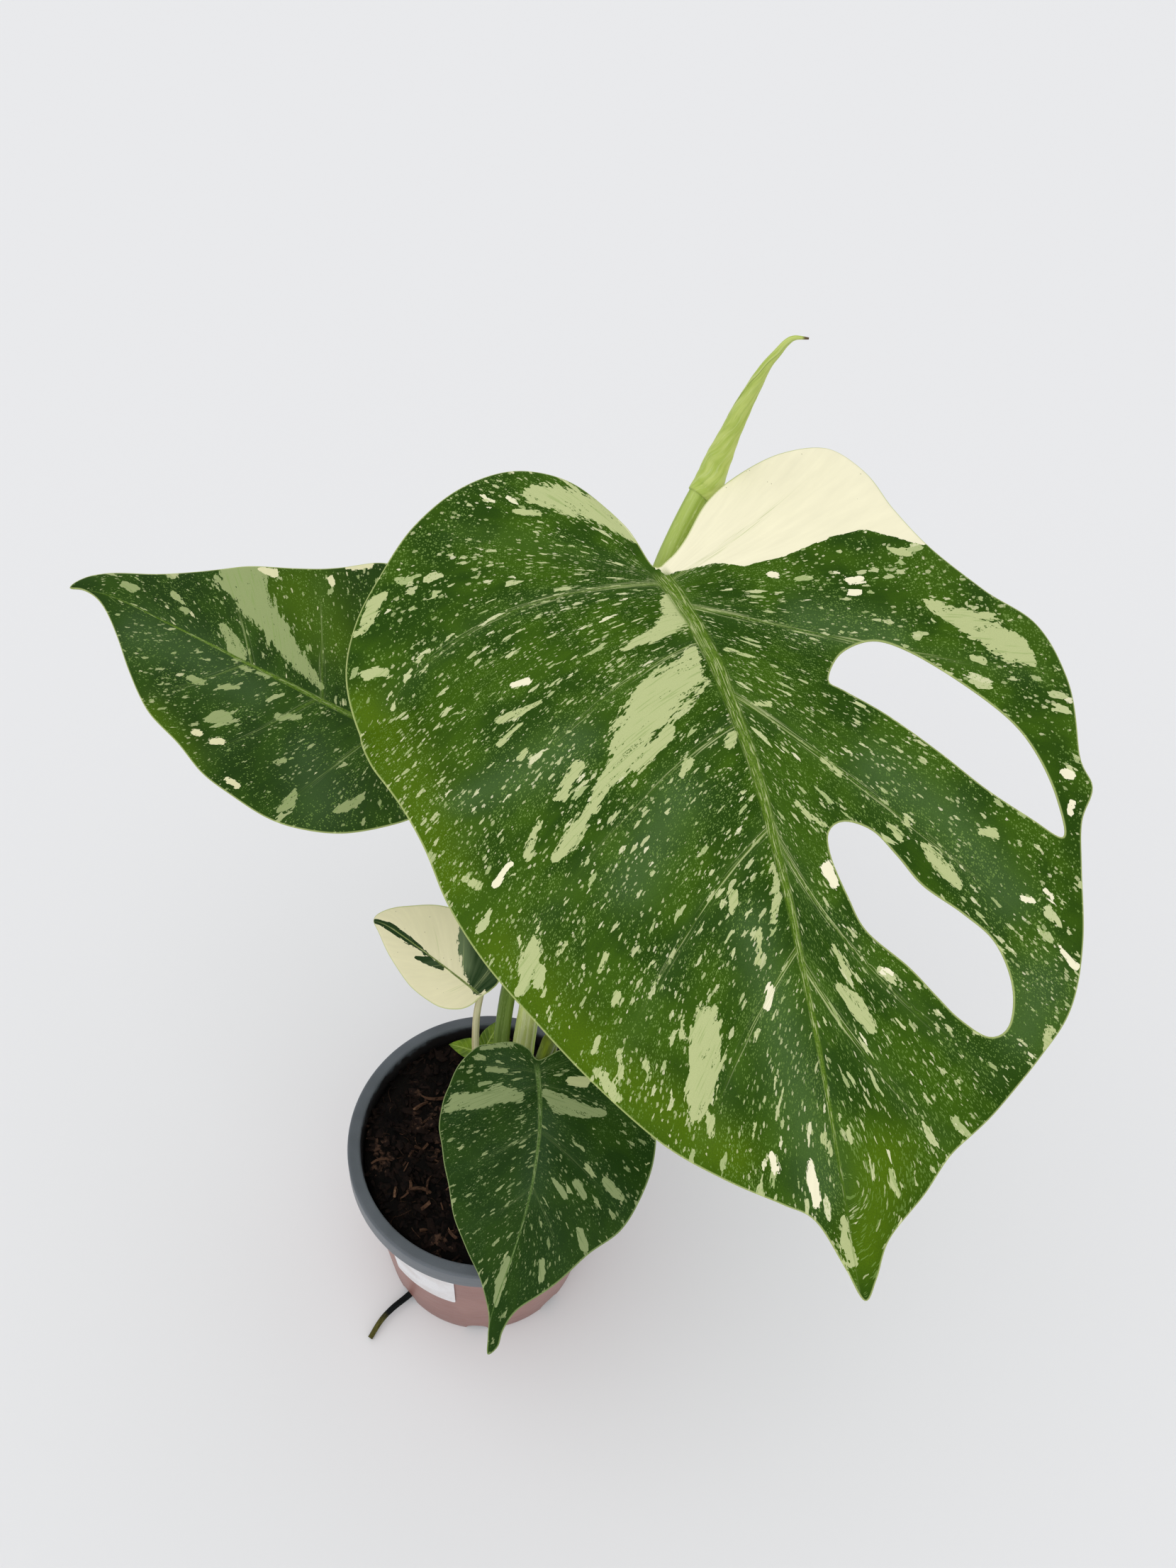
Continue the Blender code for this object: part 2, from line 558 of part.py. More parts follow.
def make_spike(material, stalk):
    """The rolled new leaf: a tapering roll whose outer edge winds round it as a low step."""
    ahead = (stalk[-1] - stalk[-2]).normalized()
    seat = [stalk[-1] + ahead * GAP, stalk[-1] + ahead * SPIKE_SEAT]
    path = smooth_path(seat + [Vector(p) * MM for p in SPIKE_PATH], SPIKE_STEP)
    sides = SPIKE_SIDES
    last = len(path) - 1
    shares, girths = zip(*SPIKE_GIRTH)
    verts = []
    faces = []
    side = Vector((1, 0, 0))
    for i, point in enumerate(path):
        t = i / last
        ahead = (path[min(i + 1, last)] - path[max(i - 1, 0)]).normalized()
        side = (side - ahead * side.dot(ahead)).normalized()
        up = ahead.cross(side)
        radius = float(np.interp(t, shares, girths)) * MM
        for k in range(sides):
            wind = (k / sides - SPIKE_TURNS * t) % 1.0
            reach = radius * (0.92 + 0.14 * wind)
            angle = 2 * math.pi * k / sides
            verts.append(point + side * (reach * math.cos(angle)) + up * (reach * math.sin(angle)))
    for i in range(last):
        for k in range(sides):
            n = (k + 1) % sides
            a, b = i * sides, (i + 1) * sides
            faces.append((a + k, a + n, b + n))
            faces.append((a + k, b + n, b + k))
    faces.append(tuple(reversed(range(sides))))
    faces.append(tuple(range(last * sides, (last + 1) * sides)))
    return mesh_object("new_leaf_spike", verts, faces, material)


def leaflet(name, base, tip, half_width):
    """A small pointed leaflet, thick enough for one solid, cupped along its middle."""
    base, tip = Vector(base) * MM, Vector(tip) * MM
    along = tip - base
    side = along.cross(Vector((0, 0, 1))).normalized()
    up = side.cross(along).normalized()
    rows = LEAFLET_ROWS
    verts = []
    for thick in (LEAFLET_THICK / 2, -LEAFLET_THICK / 2):
        for i in range(rows + 1):
            t = i / rows
            width = half_width * (0.16 + 0.84 * math.sin(math.pi * t ** 0.75) ** 0.8) * (1 - 0.55 * t ** 4)
            for j in (-1, 0, 1):
                rise = LEAFLET_CUP * abs(j) * width + thick - LEAFLET_DROOP * t * t
                verts.append(base + along * t + side * (j * width) + up * rise)
    half = 3 * (rows + 1)
    faces = []
    for i in range(rows):
        for j in range(2):
            a = 3 * i + j
            faces.append((a, a + 1, a + 4, a + 3))
            faces.append((half + a, half + a + 3, half + a + 4, half + a + 1))
        a = 3 * i
        faces.append((a, a + 3, half + a + 3, half + a))
        faces.append((a + 2, half + a + 2, half + a + 5, a + 5))
    for j in range(2):
        faces.append((j, half + j, half + j + 1, j + 1))
        end = 3 * rows + j
        faces.append((end, end + 1, half + end + 1, half + end))
    leaf = mesh_object(name, verts, faces)
    tidy = bmesh.new()
    tidy.from_mesh(leaf.data)
    bmesh.ops.recalc_face_normals(tidy, faces=tidy.faces)
    tidy.to_mesh(leaf.data)
    tidy.free()
    return leaf


def stem_radius(t):
    """A short stem that swells in its middle, with the low rings of its nodes."""
    return (6.6 + 1.6 * math.sin(math.pi * t) + 0.5 * math.sin(9 * math.pi * t)) * MM


def shoot_radius(t):
    return (1.7 - 0.3 * t) * MM


def root_radius(t):
    return (1.6 - 0.45 * t) * MM


def make_stalks():
    """The stem and the petioles in order. Each one is cut back clear of those made before it."""
    earlier = []
    for name, stalk in STALKS.items():
        if name == "stem":
            path = fine_path(STEM_PATH)
            radius_at = stem_radius
        else:
            surface = Surface(stalk["leaf"]) if stalk["leaf"] else None
            path = stalk_path(stalk["path"], surface, stalk["bend"], stalk["top"])
            radius_at = taper(stalk["base"], stalk["top"], stalk["flare"])
        material = colour_material(name + "_skin", stalk["colour"], 0.4)
        piece = tube(name, path, radius_at, stalk["sides"], material, 0.0, stalk["channel"])
        for cutter in earlier:
            cut(piece, cutter)
        earlier.append(grown_cutter(name, path, radius_at, stalk["sides"]))
    return earlier


def fine_path(points):
    return smooth_path([Vector(p) * MM for p in points], FINE_STEP)


def grown_cutter(name, path, radius_at, sides):
    """A cutter that stands one gap clear of the stalk on every side and past both ends."""
    return as_cutter(tube(name + "_cutter", path, radius_at, sides, None, GAP, 0.0, GAP))


def make_shoot(material):
    shoot = tube("basal_shoot", fine_path(SHOOT_PATH), shoot_radius, SMALL_SIDES, material)
    for name, leaf in LEAFLETS.items():
        cut(shoot, as_cutter(leaflet(name, leaf["base"], leaf["tip"], leaf["half_width"])), "UNION")


def build():
    for obj in list(bpy.data.objects):
        bpy.data.objects.remove(obj, do_unlink=True)

    make_pot(colour_material("pot_plastic", (0.25, 0.16, 0.145), 0.45))
    make_label(colour_material("label_paper", (0.85, 0.85, 0.86), 0.6))
    soil = make_soil(colour_material("soil_mix", (0.02, 0.012, 0.008), 0.95))

    for name, leaf in (("leaf_large", LARGE), ("leaf_left", LEFT), ("leaf_front", FRONT),
                       ("leaf_small", SMALL)):
        leaf_blade(name, leaf, colour_material(name + "_skin", leaf["colour"], 0.4))

    stem_cutter = make_stalks()[0]
    make_spike(colour_material("new_leaf_skin", (0.36, 0.52, 0.14), 0.4), stalk_path(PETIOLE_NEW))
    make_shoot(colour_material("shoot_skin", (0.2, 0.42, 0.03), 0.4))
    tube("drain_root", fine_path(ROOT_PATH), root_radius, SMALL_SIDES,
         colour_material("root_skin", (0.02, 0.018, 0.015), 0.6))

    cut(soil, stem_cutter)
    cut(soil, grown_cutter("shoot", fine_path(SHOOT_PATH), shoot_radius, SMALL_SIDES))
    cut(soil, grown_cutter("root", fine_path(ROOT_PATH), root_radius, SMALL_SIDES))


build()
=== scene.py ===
# Looks for a potted thai constellation monstera. Sizes in the dictionaries are millimetres.
import math

import bmesh
import bpy
import numpy as np
from mathutils import Matrix, Vector, noise
from mathutils.geometry import delaunay_2d_cdt
from mathutils.kdtree import KDTree


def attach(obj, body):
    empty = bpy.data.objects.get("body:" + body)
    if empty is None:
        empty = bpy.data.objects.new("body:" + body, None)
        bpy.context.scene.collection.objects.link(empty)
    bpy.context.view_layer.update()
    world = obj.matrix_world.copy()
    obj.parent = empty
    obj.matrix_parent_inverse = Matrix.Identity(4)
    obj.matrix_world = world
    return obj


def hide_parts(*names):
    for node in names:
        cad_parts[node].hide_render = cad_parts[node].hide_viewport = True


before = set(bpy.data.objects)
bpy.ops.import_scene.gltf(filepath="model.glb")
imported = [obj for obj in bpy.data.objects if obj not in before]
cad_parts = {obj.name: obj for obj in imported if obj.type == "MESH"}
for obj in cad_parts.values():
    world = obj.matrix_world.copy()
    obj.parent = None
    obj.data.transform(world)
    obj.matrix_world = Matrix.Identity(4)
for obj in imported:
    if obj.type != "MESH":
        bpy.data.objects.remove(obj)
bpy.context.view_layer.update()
mm = 0.001


def newObject(name, data, material=None):
    if material:
        data.materials.append(material)
    obj = bpy.data.objects.new(name, data)
    bpy.context.scene.collection.objects.link(obj)
    return obj


# Camera, floor and light; nearClip and floorSize are metres
camera = {"lens": 27.0, "sensor": 36.0, "nearClip": 0.01, "pitch": 46.6, "roll": 7.03,
          "place": (23.3, -233.7, 572.4)}
stage = {"floorSize": 14.0, "floorColour": (236, 236, 236), "floorRoughness": 0.9, "floorSpecular": 0.1,
         "worldColour": (251, 252, 255), "worldPower": 0.76, "sunPower": 0.86, "sunSpread": 70,
         "sunTurn": (24, -16, 0)}


def displayColour(red, green, blue):
    # a colour as a screen shows it, turned into the linear value that a shader takes
    steps = [c / 255 for c in (red, green, blue)]
    return tuple(s / 12.92 if s < 0.04045 else ((s + 0.055) / 1.055) ** 2.4 for s in steps) + (1.0,)


def makeCamera():
    pitch, roll = math.radians(camera["pitch"]), math.radians(camera["roll"])
    ahead = Vector((0, math.cos(pitch), -math.sin(pitch)))
    level = Vector((1, 0, 0))
    upright = Vector((0, math.sin(pitch), math.cos(pitch)))
    right = math.cos(roll) * level + math.sin(roll) * upright
    up = -math.sin(roll) * level + math.cos(roll) * upright
    data = bpy.data.cameras.new("camera")
    data.lens = camera["lens"]
    data.sensor_width = camera["sensor"]
    data.clip_start = camera["nearClip"]
    obj = newObject("camera", data)
    place = Vector(camera["place"]) * mm
    turn = Matrix((right, up, -ahead)).transposed().to_4x4()
    obj.matrix_world = Matrix.Translation(place) @ turn
    bpy.context.scene.camera = obj


def makeStage():
    scene = bpy.context.scene
    scene.view_settings.view_transform = "Standard"
    half = stage["floorSize"] / 2
    mesh = bpy.data.meshes.new("floor")
    mesh.from_pydata([(-half, -half, 0), (half, -half, 0), (half, half, 0), (-half, half, 0)], [],
                     [(0, 1, 2, 3)])
    material, shader = newMaterial("paleFloor", stage["floorSpecular"])
    shader["Base Color"].default_value = displayColour(*stage["floorColour"])
    shader["Roughness"].default_value = stage["floorRoughness"]
    newObject("floor", mesh, material)

    world = bpy.data.worlds.new("softWorld")
    world.use_nodes = True
    scene.world = world
    background = world.node_tree.nodes["Background"].inputs
    background["Color"].default_value = displayColour(*stage["worldColour"])
    background["Strength"].default_value = stage["worldPower"]

    # one very broad lamp overhead, which reaches the whole floor evenly
    lamp = bpy.data.lights.new("overheadLight", "SUN")
    lamp.energy = stage["sunPower"]
    lamp.angle = math.radians(stage["sunSpread"])
    newObject("overheadLight", lamp).rotation_euler = [math.radians(turn) for turn in stage["sunTurn"]]


# Small helpers for node trees, which add to the tree that is on the bench
bench = {"tree": None}


def put(kind, **settings):
    node = bench["tree"].nodes.new(kind)
    for name, value in settings.items():
        setattr(node, name, value)
    return node


def feed(source, target):
    if isinstance(source, bpy.types.NodeSocket):
        bench["tree"].links.new(source, target)
    else:
        target.default_value = source


def wire(kind, sources, **settings):
    # a new node whose inputs get sockets or plain values
    node = put(kind, **settings)
    for key, source in sources.items():
        feed(source, node.inputs[key])
    return node


def calc(operation, *values, clamp=False):
    return wire("ShaderNodeMath", dict(enumerate(values)), operation=operation, use_clamp=clamp).outputs[0]


def times(first, *others, clamp=False):
    for other in others:
        first = calc("MULTIPLY", first, other, clamp=clamp)
    return first


def plus(first, *others):
    for other in others:
        first = calc("ADD", first, other)
    return first


def minus(first, second):
    return calc("SUBTRACT", first, second)


def scaled(value, factor, offset, clamp=False):
    return calc("MULTIPLY_ADD", value, factor, offset, clamp=clamp)


def ramp(value, low, high, start=0.0, end=1.0):
    sources = {"Value": value, "From Min": low, "From Max": high, "To Min": start, "To Max": end}
    return wire("ShaderNodeMapRange", sources, interpolation_type="SMOOTHSTEP").outputs["Result"]


def mixColour(share, first, second, blend="MIX"):
    # a colour is a socket, or red, green and blue as a screen shows them
    sources = {0: share}
    for index, colour in ((6, first), (7, second)):
        sources[index] = displayColour(*colour) if isinstance(colour, tuple) else colour
    return wire("ShaderNodeMix", sources, data_type="RGBA", blend_type=blend).outputs[2]


def stretch(vector, scale, offset=(0.0, 0.0, 0.0)):
    return wire("ShaderNodeVectorMath", {0: vector, 1: scale, 2: offset},
                operation="MULTIPLY_ADD").outputs[0]


def grain(vector, scale, detail=2.0, roughness=0.5):
    sources = {"Vector": vector, "Scale": scale, "Detail": detail, "Roughness": roughness}
    return wire("ShaderNodeTexNoise", sources).outputs[0]


def wobble(vector, scale):
    # unlike noises in the three channels of a colour
    return wire("ShaderNodeTexNoise", {"Vector": vector, "Scale": scale}).outputs[1]


def cellsOf(vector, scale=1.0, dimensions="2D"):
    return wire("ShaderNodeTexVoronoi", {"Vector": vector, "Scale": scale},
                voronoi_dimensions=dimensions).outputs


def joined(x, y, z):
    return wire("ShaderNodeCombineXYZ", {0: x, 1: y, 2: z}).outputs[0]


def apart(vector):
    return wire("ShaderNodeSeparateXYZ", {0: vector}).outputs


def readField(name):
    return put("ShaderNodeAttribute", attribute_name=name).outputs["Fac"]


def readVector(name):
    return put("ShaderNodeAttribute", attribute_name=name).outputs["Vector"]


def objectPlace():
    return put("ShaderNodeTexCoord").outputs["Object"]


def farFromAxis(x, y):
    return calc("SQRT", plus(times(x, x), times(y, y)))


socketKinds = {"float": "NodeSocketFloat", "colour": "NodeSocketColor", "vector": "NodeSocketVector",
               "int": "NodeSocketInt", "geometry": "NodeSocketGeometry", "material": "NodeSocketMaterial"}
valueKinds = {float: "float", int: "int", tuple: "vector"}
skinFields = {"colour": "colour", "roughness": "float", "height": "float"}


def newGroup(name, kind, takes, gives):
    # takes names each input with its usual value, or with its kind where it has none
    tree = bpy.data.node_groups.new(name, kind)
    bench["tree"] = tree
    for label, value in takes.items():
        form = value if isinstance(value, str) else valueKinds[type(value)]
        socket = tree.interface.new_socket(label, in_out="INPUT", socket_type=socketKinds[form])
        if form != value:
            socket.default_value = value
    for label, form in gives.items():
        tree.interface.new_socket(label, in_out="OUTPUT", socket_type=socketKinds[form])
    return tree, put("NodeGroupInput").outputs, put("NodeGroupOutput").inputs


def useGroup(group, **values):
    return wire("ShaderNodeGroup", values, node_tree=group).outputs


def newMaterial(name, specular):
    material = bpy.data.materials.new(name)
    material.use_nodes = True
    bench["tree"] = material.node_tree
    shader = material.node_tree.nodes["Principled BSDF"].inputs
    shader["Specular IOR Level"].default_value = specular
    return material, shader


def finishSkin(shader, colour, roughness, height, strength, distance):
    bump = wire("ShaderNodeBump", {"Strength": strength, "Distance": distance, "Height": height})
    for name, source in (("Base Color", colour), ("Roughness", roughness),
                         ("Normal", bump.outputs["Normal"])):
        feed(source, shader[name])


# Shared shader effects
def makeFleckGroup():
    # torn spots drawn out along the fibres; each lies in one cell of a seeded share of the cells
    takes = {"fibre": "vector", "along": 3.0, "across": 8.0, "share": 0.08, "ragged": 0.3, "seed": 0.0}
    gives = {"mask": "float", "tone": "float"}
    tree, given, result = newGroup("pale flecks", "ShaderNodeTree", takes, gives)
    place = joined(given["seed"], times(given["seed"], 0.37), 0.0)
    spot = stretch(given["fibre"], joined(given["along"], given["across"], 0.0), place)
    shift = stretch(wobble(spot, 2.4), (2.0, 2.0, 0.0), (-1.0, -1.0, 0.0))
    bent = stretch(shift, joined(given["ragged"], given["ragged"], 0.0), spot)
    cells = cellsOf(bent)
    chance, tone, size = apart(cells["Color"])
    reach = scaled(calc("POWER", size, 2.0), 0.34, 0.17)
    cluster = grain(stretch(given["fibre"], (0.55, 0.9, 0.0), place), 1.0, 1.0)
    share = times(given["share"], ramp(cluster, 0.3, 0.7, 0.2, 2.0))
    filled = times(calc("LESS_THAN", chance, share), calc("LESS_THAN", cells["Distance"], reach))
    feed(filled, result["mask"])
    feed(tone, result["tone"])
    return tree


def makePatchGroup():
    # a blotch whose form comes from a field on the piece; its edge breaks off in steps along the fibres
    takes = {"field": 0.0, "fibre": "vector", "tear": 0.3, "seed": 0.0}
    tree, given, result = newGroup("torn blotch", "ShaderNodeTree", takes, {"mask": "float"})
    level = given["field"]
    for along, across, weight in ((2.2, 8.0, 2.1), (6.5, 19.0, 1.2)):
        spot = stretch(given["fibre"], (along, across, 0.0), joined(given["seed"], 0.0, 0.0))
        spot = stretch(wobble(spot, 2.0), (1.1, 1.1, 0.0), spot)
        step = minus(apart(cellsOf(spot)["Color"])[0], 0.5)
        level = scaled(step, times(given["tear"], weight), level)
    feed(ramp(level, -0.03, 0.03), result["mask"])
    return tree


# blueGreen is painted sheen: the soft blue-grey reflection on the leaves, laid on as colour
leafLook = {"deepGreen": (38, 69, 3), "freshGreen": (60, 93, 7), "yellowGreen": (80, 110, 3),
            "blueGreen": (74, 103, 52), "sage": (188, 197, 138), "cream": (250, 244, 210),
            "dotGreen": (128, 158, 78), "ribGreen": (102, 132, 40), "edgeGreen": (190, 202, 128),
            "underGreen": (112, 134, 78)}
leafFinish = {"freshShare": 0.9, "glowShare": 0.85, "veinSheenBand": 0.12, "sheenShare": 0.68,
              "creamDot": (96, 92, 62), "sageTear": 1.0, "creamTear": 0.8, "greenTear": 0.8,
              "marginReach": 0.62, "marginShare": 0.72, "underShare": 0.62, "roughness": 0.40,
              "underRoughness": 0.2, "quilt": 0.8, "cellRelief": 0.07, "groove": -0.5, "ribRelief": 0.3}


def makeLeafGroup(flecks, blotch):
    takes = {**dict.fromkeys(leafLook, "colour"), "fleckShare": 1.0, "tear": 0.3, "veinTone": 1.0,
             "seed": 0.0}
    tree, given, result = newGroup("variegated leaf", "ShaderNodeTree", takes, skinFields)
    fibre, plane = readVector("fibre"), readVector("plane")
    seed = given["seed"]
    veinGap, edgeGap, ribGap = readField("veinGap"), readField("edgeGap"), readField("ribGap")

    # green ground: slow zones, soft streaks along the fibres and a fine cell grain
    slow = grain(stretch(plane, (0.5, 0.5, 0.0), joined(0.0, 0.0, seed)), 1.0, 2.0)
    streak = grain(stretch(fibre, (0.35, 3.2, 0.0), joined(0.0, 0.0, seed)), 1.0, 3.0, 0.6)
    fine = grain(plane, 26.0, 2.0, 0.7)
    fresh = plus(ramp(slow, 0.38, 0.62), times(minus(streak, 0.5), 1.6))
    colour = mixColour(times(fresh, leafFinish["freshShare"], clamp=True), given["deepGreen"],
                       given["freshGreen"])
    colour = mixColour(times(readField("glow"), leafFinish["glowShare"], clamp=True), colour,
                       given["yellowGreen"])
    # painted sheen: blue-green laid along the veins and over the sheen strokes stands in for reflected light
    paintedSheen = times(ramp(veinGap, 6.5, 0.5), leafFinish["veinSheenBand"])
    paintedSheen = calc("MAXIMUM", paintedSheen, times(readField("sheen"), leafFinish["sheenShare"]), clamp=True)
    colour = mixColour(paintedSheen, colour, given["blueGreen"])
    colour = mixColour(1.0, colour, scaled(fine, 0.9, 0.55), "MULTIPLY")

    # pale flecks in four sizes; the finest are only a lighter green, and a few of the largest are cream
    tip = ramp(ribGap, 0.7, 1.3)
    for number, (along, across, share, ragged, strength) in enumerate(fleckSizes):
        layer = useGroup(flecks, fibre=fibre, along=along, across=across, ragged=ragged,
                         share=times(given["fleckShare"], share), seed=plus(seed, 7.3 * number))
        pale = mixColour(ramp(layer["tone"], 0.8, 1.0, 0.15, 0.75), given["sage"], given["cream"])
        pale = mixColour(times(ramp(layer["tone"], 0.5, 0.0), 0.5), pale, given["dotGreen"])
        pale = given["dotGreen"] if number == len(fleckSizes) - 1 else pale
        colour = mixColour(times(layer["mask"], strength, tip), colour, pale)

    # drawn blotches, with dark cracks and grains in the sage ones
    def torn(kind, shift):
        tear = times(given["tear"], leafFinish[kind + "Tear"])
        return useGroup(blotch, field=readField(kind + "Field"), fibre=fibre, tear=tear,
                        seed=plus(seed, shift))["mask"]

    sageMask = torn("sage", 0.0)
    mottled = scaled(grain(plane, 30.0, 2.0, 0.7), 0.34, 0.84)
    sage = mixColour(1.0, given["sage"], mottled, "MULTIPLY")
    silk = grain(stretch(fibre, (0.8, 16.0, 0.0)), 1.0, 2.0)
    sage = mixColour(ramp(silk, 0.44, 0.36, 0.0, 0.35), sage, given["dotGreen"])
    crowd = grain(stretch(fibre, (0.7, 4.5, 0.0), joined(seed, 0.0, 0.0)), 1.0, 1.0)
    crowd = ramp(crowd, 0.54, 0.68, 0.0, 0.6)
    grit = useGroup(flecks, fibre=fibre, along=11.0, across=22.0, ragged=0.7, share=crowd, seed=seed)["mask"]
    sage = mixColour(times(grit, 0.85), sage, given["freshGreen"])
    colour = mixColour(sageMask, colour, sage)
    creamMask = torn("cream", 3.0)
    softly = scaled(grain(stretch(fibre, (0.6, 5.0, 0.0)), 1.0, 3.0), 0.16, 0.90)
    cream = mixColour(1.0, given["cream"], softly, "MULTIPLY")
    dots = cellsOf(plane, 9.0, "3D")
    chosen = calc("LESS_THAN", apart(dots["Color"])[0], ramp(grain(plane, 0.8), 0.5, 0.66, 0.0, 0.2))
    dot = times(calc("LESS_THAN", dots["Distance"], 0.16), chosen)
    cream = mixColour(times(dot, 0.6), cream, leafFinish["creamDot"])
    colour = mixColour(creamMask, colour, cream)
    greenMask = torn("green", 5.0)
    # green blotches turn grey-green along the streaks, and take painted sheen where the sheen strokes lie
    greyedAndSheen = scaled(ramp(streak, 0.35, 0.65), 0.25, times(readField("sheen"), 0.85), clamp=True)
    colour = mixColour(greenMask, colour, mixColour(greyedAndSheen, given["deepGreen"], given["blueGreen"]))

    # lateral veins, midrib with cream lines, and the thin pale margin
    notCream = minus(1.0, times(creamMask, 0.75))
    veinShow = readField("veinShow")
    reach = scaled(calc("POWER", veinShow, 3.0), 0.6, 0.22)
    vein = times(ramp(calc("DIVIDE", veinGap, reach), 1.0, 0.35), scaled(veinShow, 0.38, 0.05))
    vein = times(vein, notCream, given["veinTone"])
    colour = mixColour(vein, colour, given["ribGreen"])
    thread = ramp(grain(stretch(fibre, (0.45, 22.0, 0.0)), 1.0, 2.0), 0.52, 0.62, 0.0, 0.75)
    beside = times(ramp(veinGap, 1.5, 0.6), ramp(veinShow, 0.15, 0.6), given["veinTone"])
    colour = mixColour(times(thread, beside), colour, given["sage"])
    lines = grain(stretch(plane, (0.3, 30.0, 0.0), joined(0.0, 0.0, seed)), 1.0, 2.0, 0.6)
    rib = mixColour(ramp(grain(plane, 16.0, 2.0), 0.4, 0.62, 0.0, 0.6), given["ribGreen"],
                    given["freshGreen"])
    rib = mixColour(ramp(lines, 0.5, 0.42, 0.0, 0.5), rib, given["freshGreen"])
    rib = mixColour(ramp(lines, 0.56, 0.68, 0.0, 0.45), rib, given["sage"])
    dash = grain(stretch(plane, (2.2, 32.0, 0.0), joined(seed, 0.0, 0.0)), 1.0, 1.0)
    rib = mixColour(ramp(dash, 0.57, 0.63, 0.0, 0.8), rib, given["sage"])
    ribShow = times(ramp(ribGap, 1.25, 0.5), readField("ribShow"))
    colour = mixColour(ribShow, colour, rib)
    edge = ramp(edgeGap, leafFinish["marginReach"], 0.2, 0.0, leafFinish["marginShare"])
    colour = mixColour(edge, colour, given["edgeGreen"])

    # the lower face is duller and paler
    under = readField("under")
    colour = mixColour(times(under, leafFinish["underShare"], notCream), colour, given["underGreen"])
    feed(colour, result["colour"])
    rough = scaled(under, leafFinish["underRoughness"], leafFinish["roughness"])
    feed(scaled(fine, 0.16, rough), result["roughness"])
    quilt = times(grain(stretch(fibre, (0.5, 2.6, 0.0)), 1.0, 2.0), leafFinish["quilt"])
    groove = times(ramp(veinGap, 1.1, 0.0), veinShow, leafFinish["groove"])
    ridges = times(lines, ribShow, leafFinish["ribRelief"])
    feed(plus(quilt, times(fine, leafFinish["cellRelief"]), groove, ridges), result["height"])
    return tree


# along and across are cells for each centimetre of blade; then the filled share, raggedness and strength
fleckSizes = [(1.3, 4.0, 0.07, 0.5, 1.0), (2.6, 7.5, 0.10, 0.45, 0.88), (6.0, 13.0, 0.15, 0.4, 0.68),
              (14.0, 22.0, 0.30, 0.35, 0.55)]
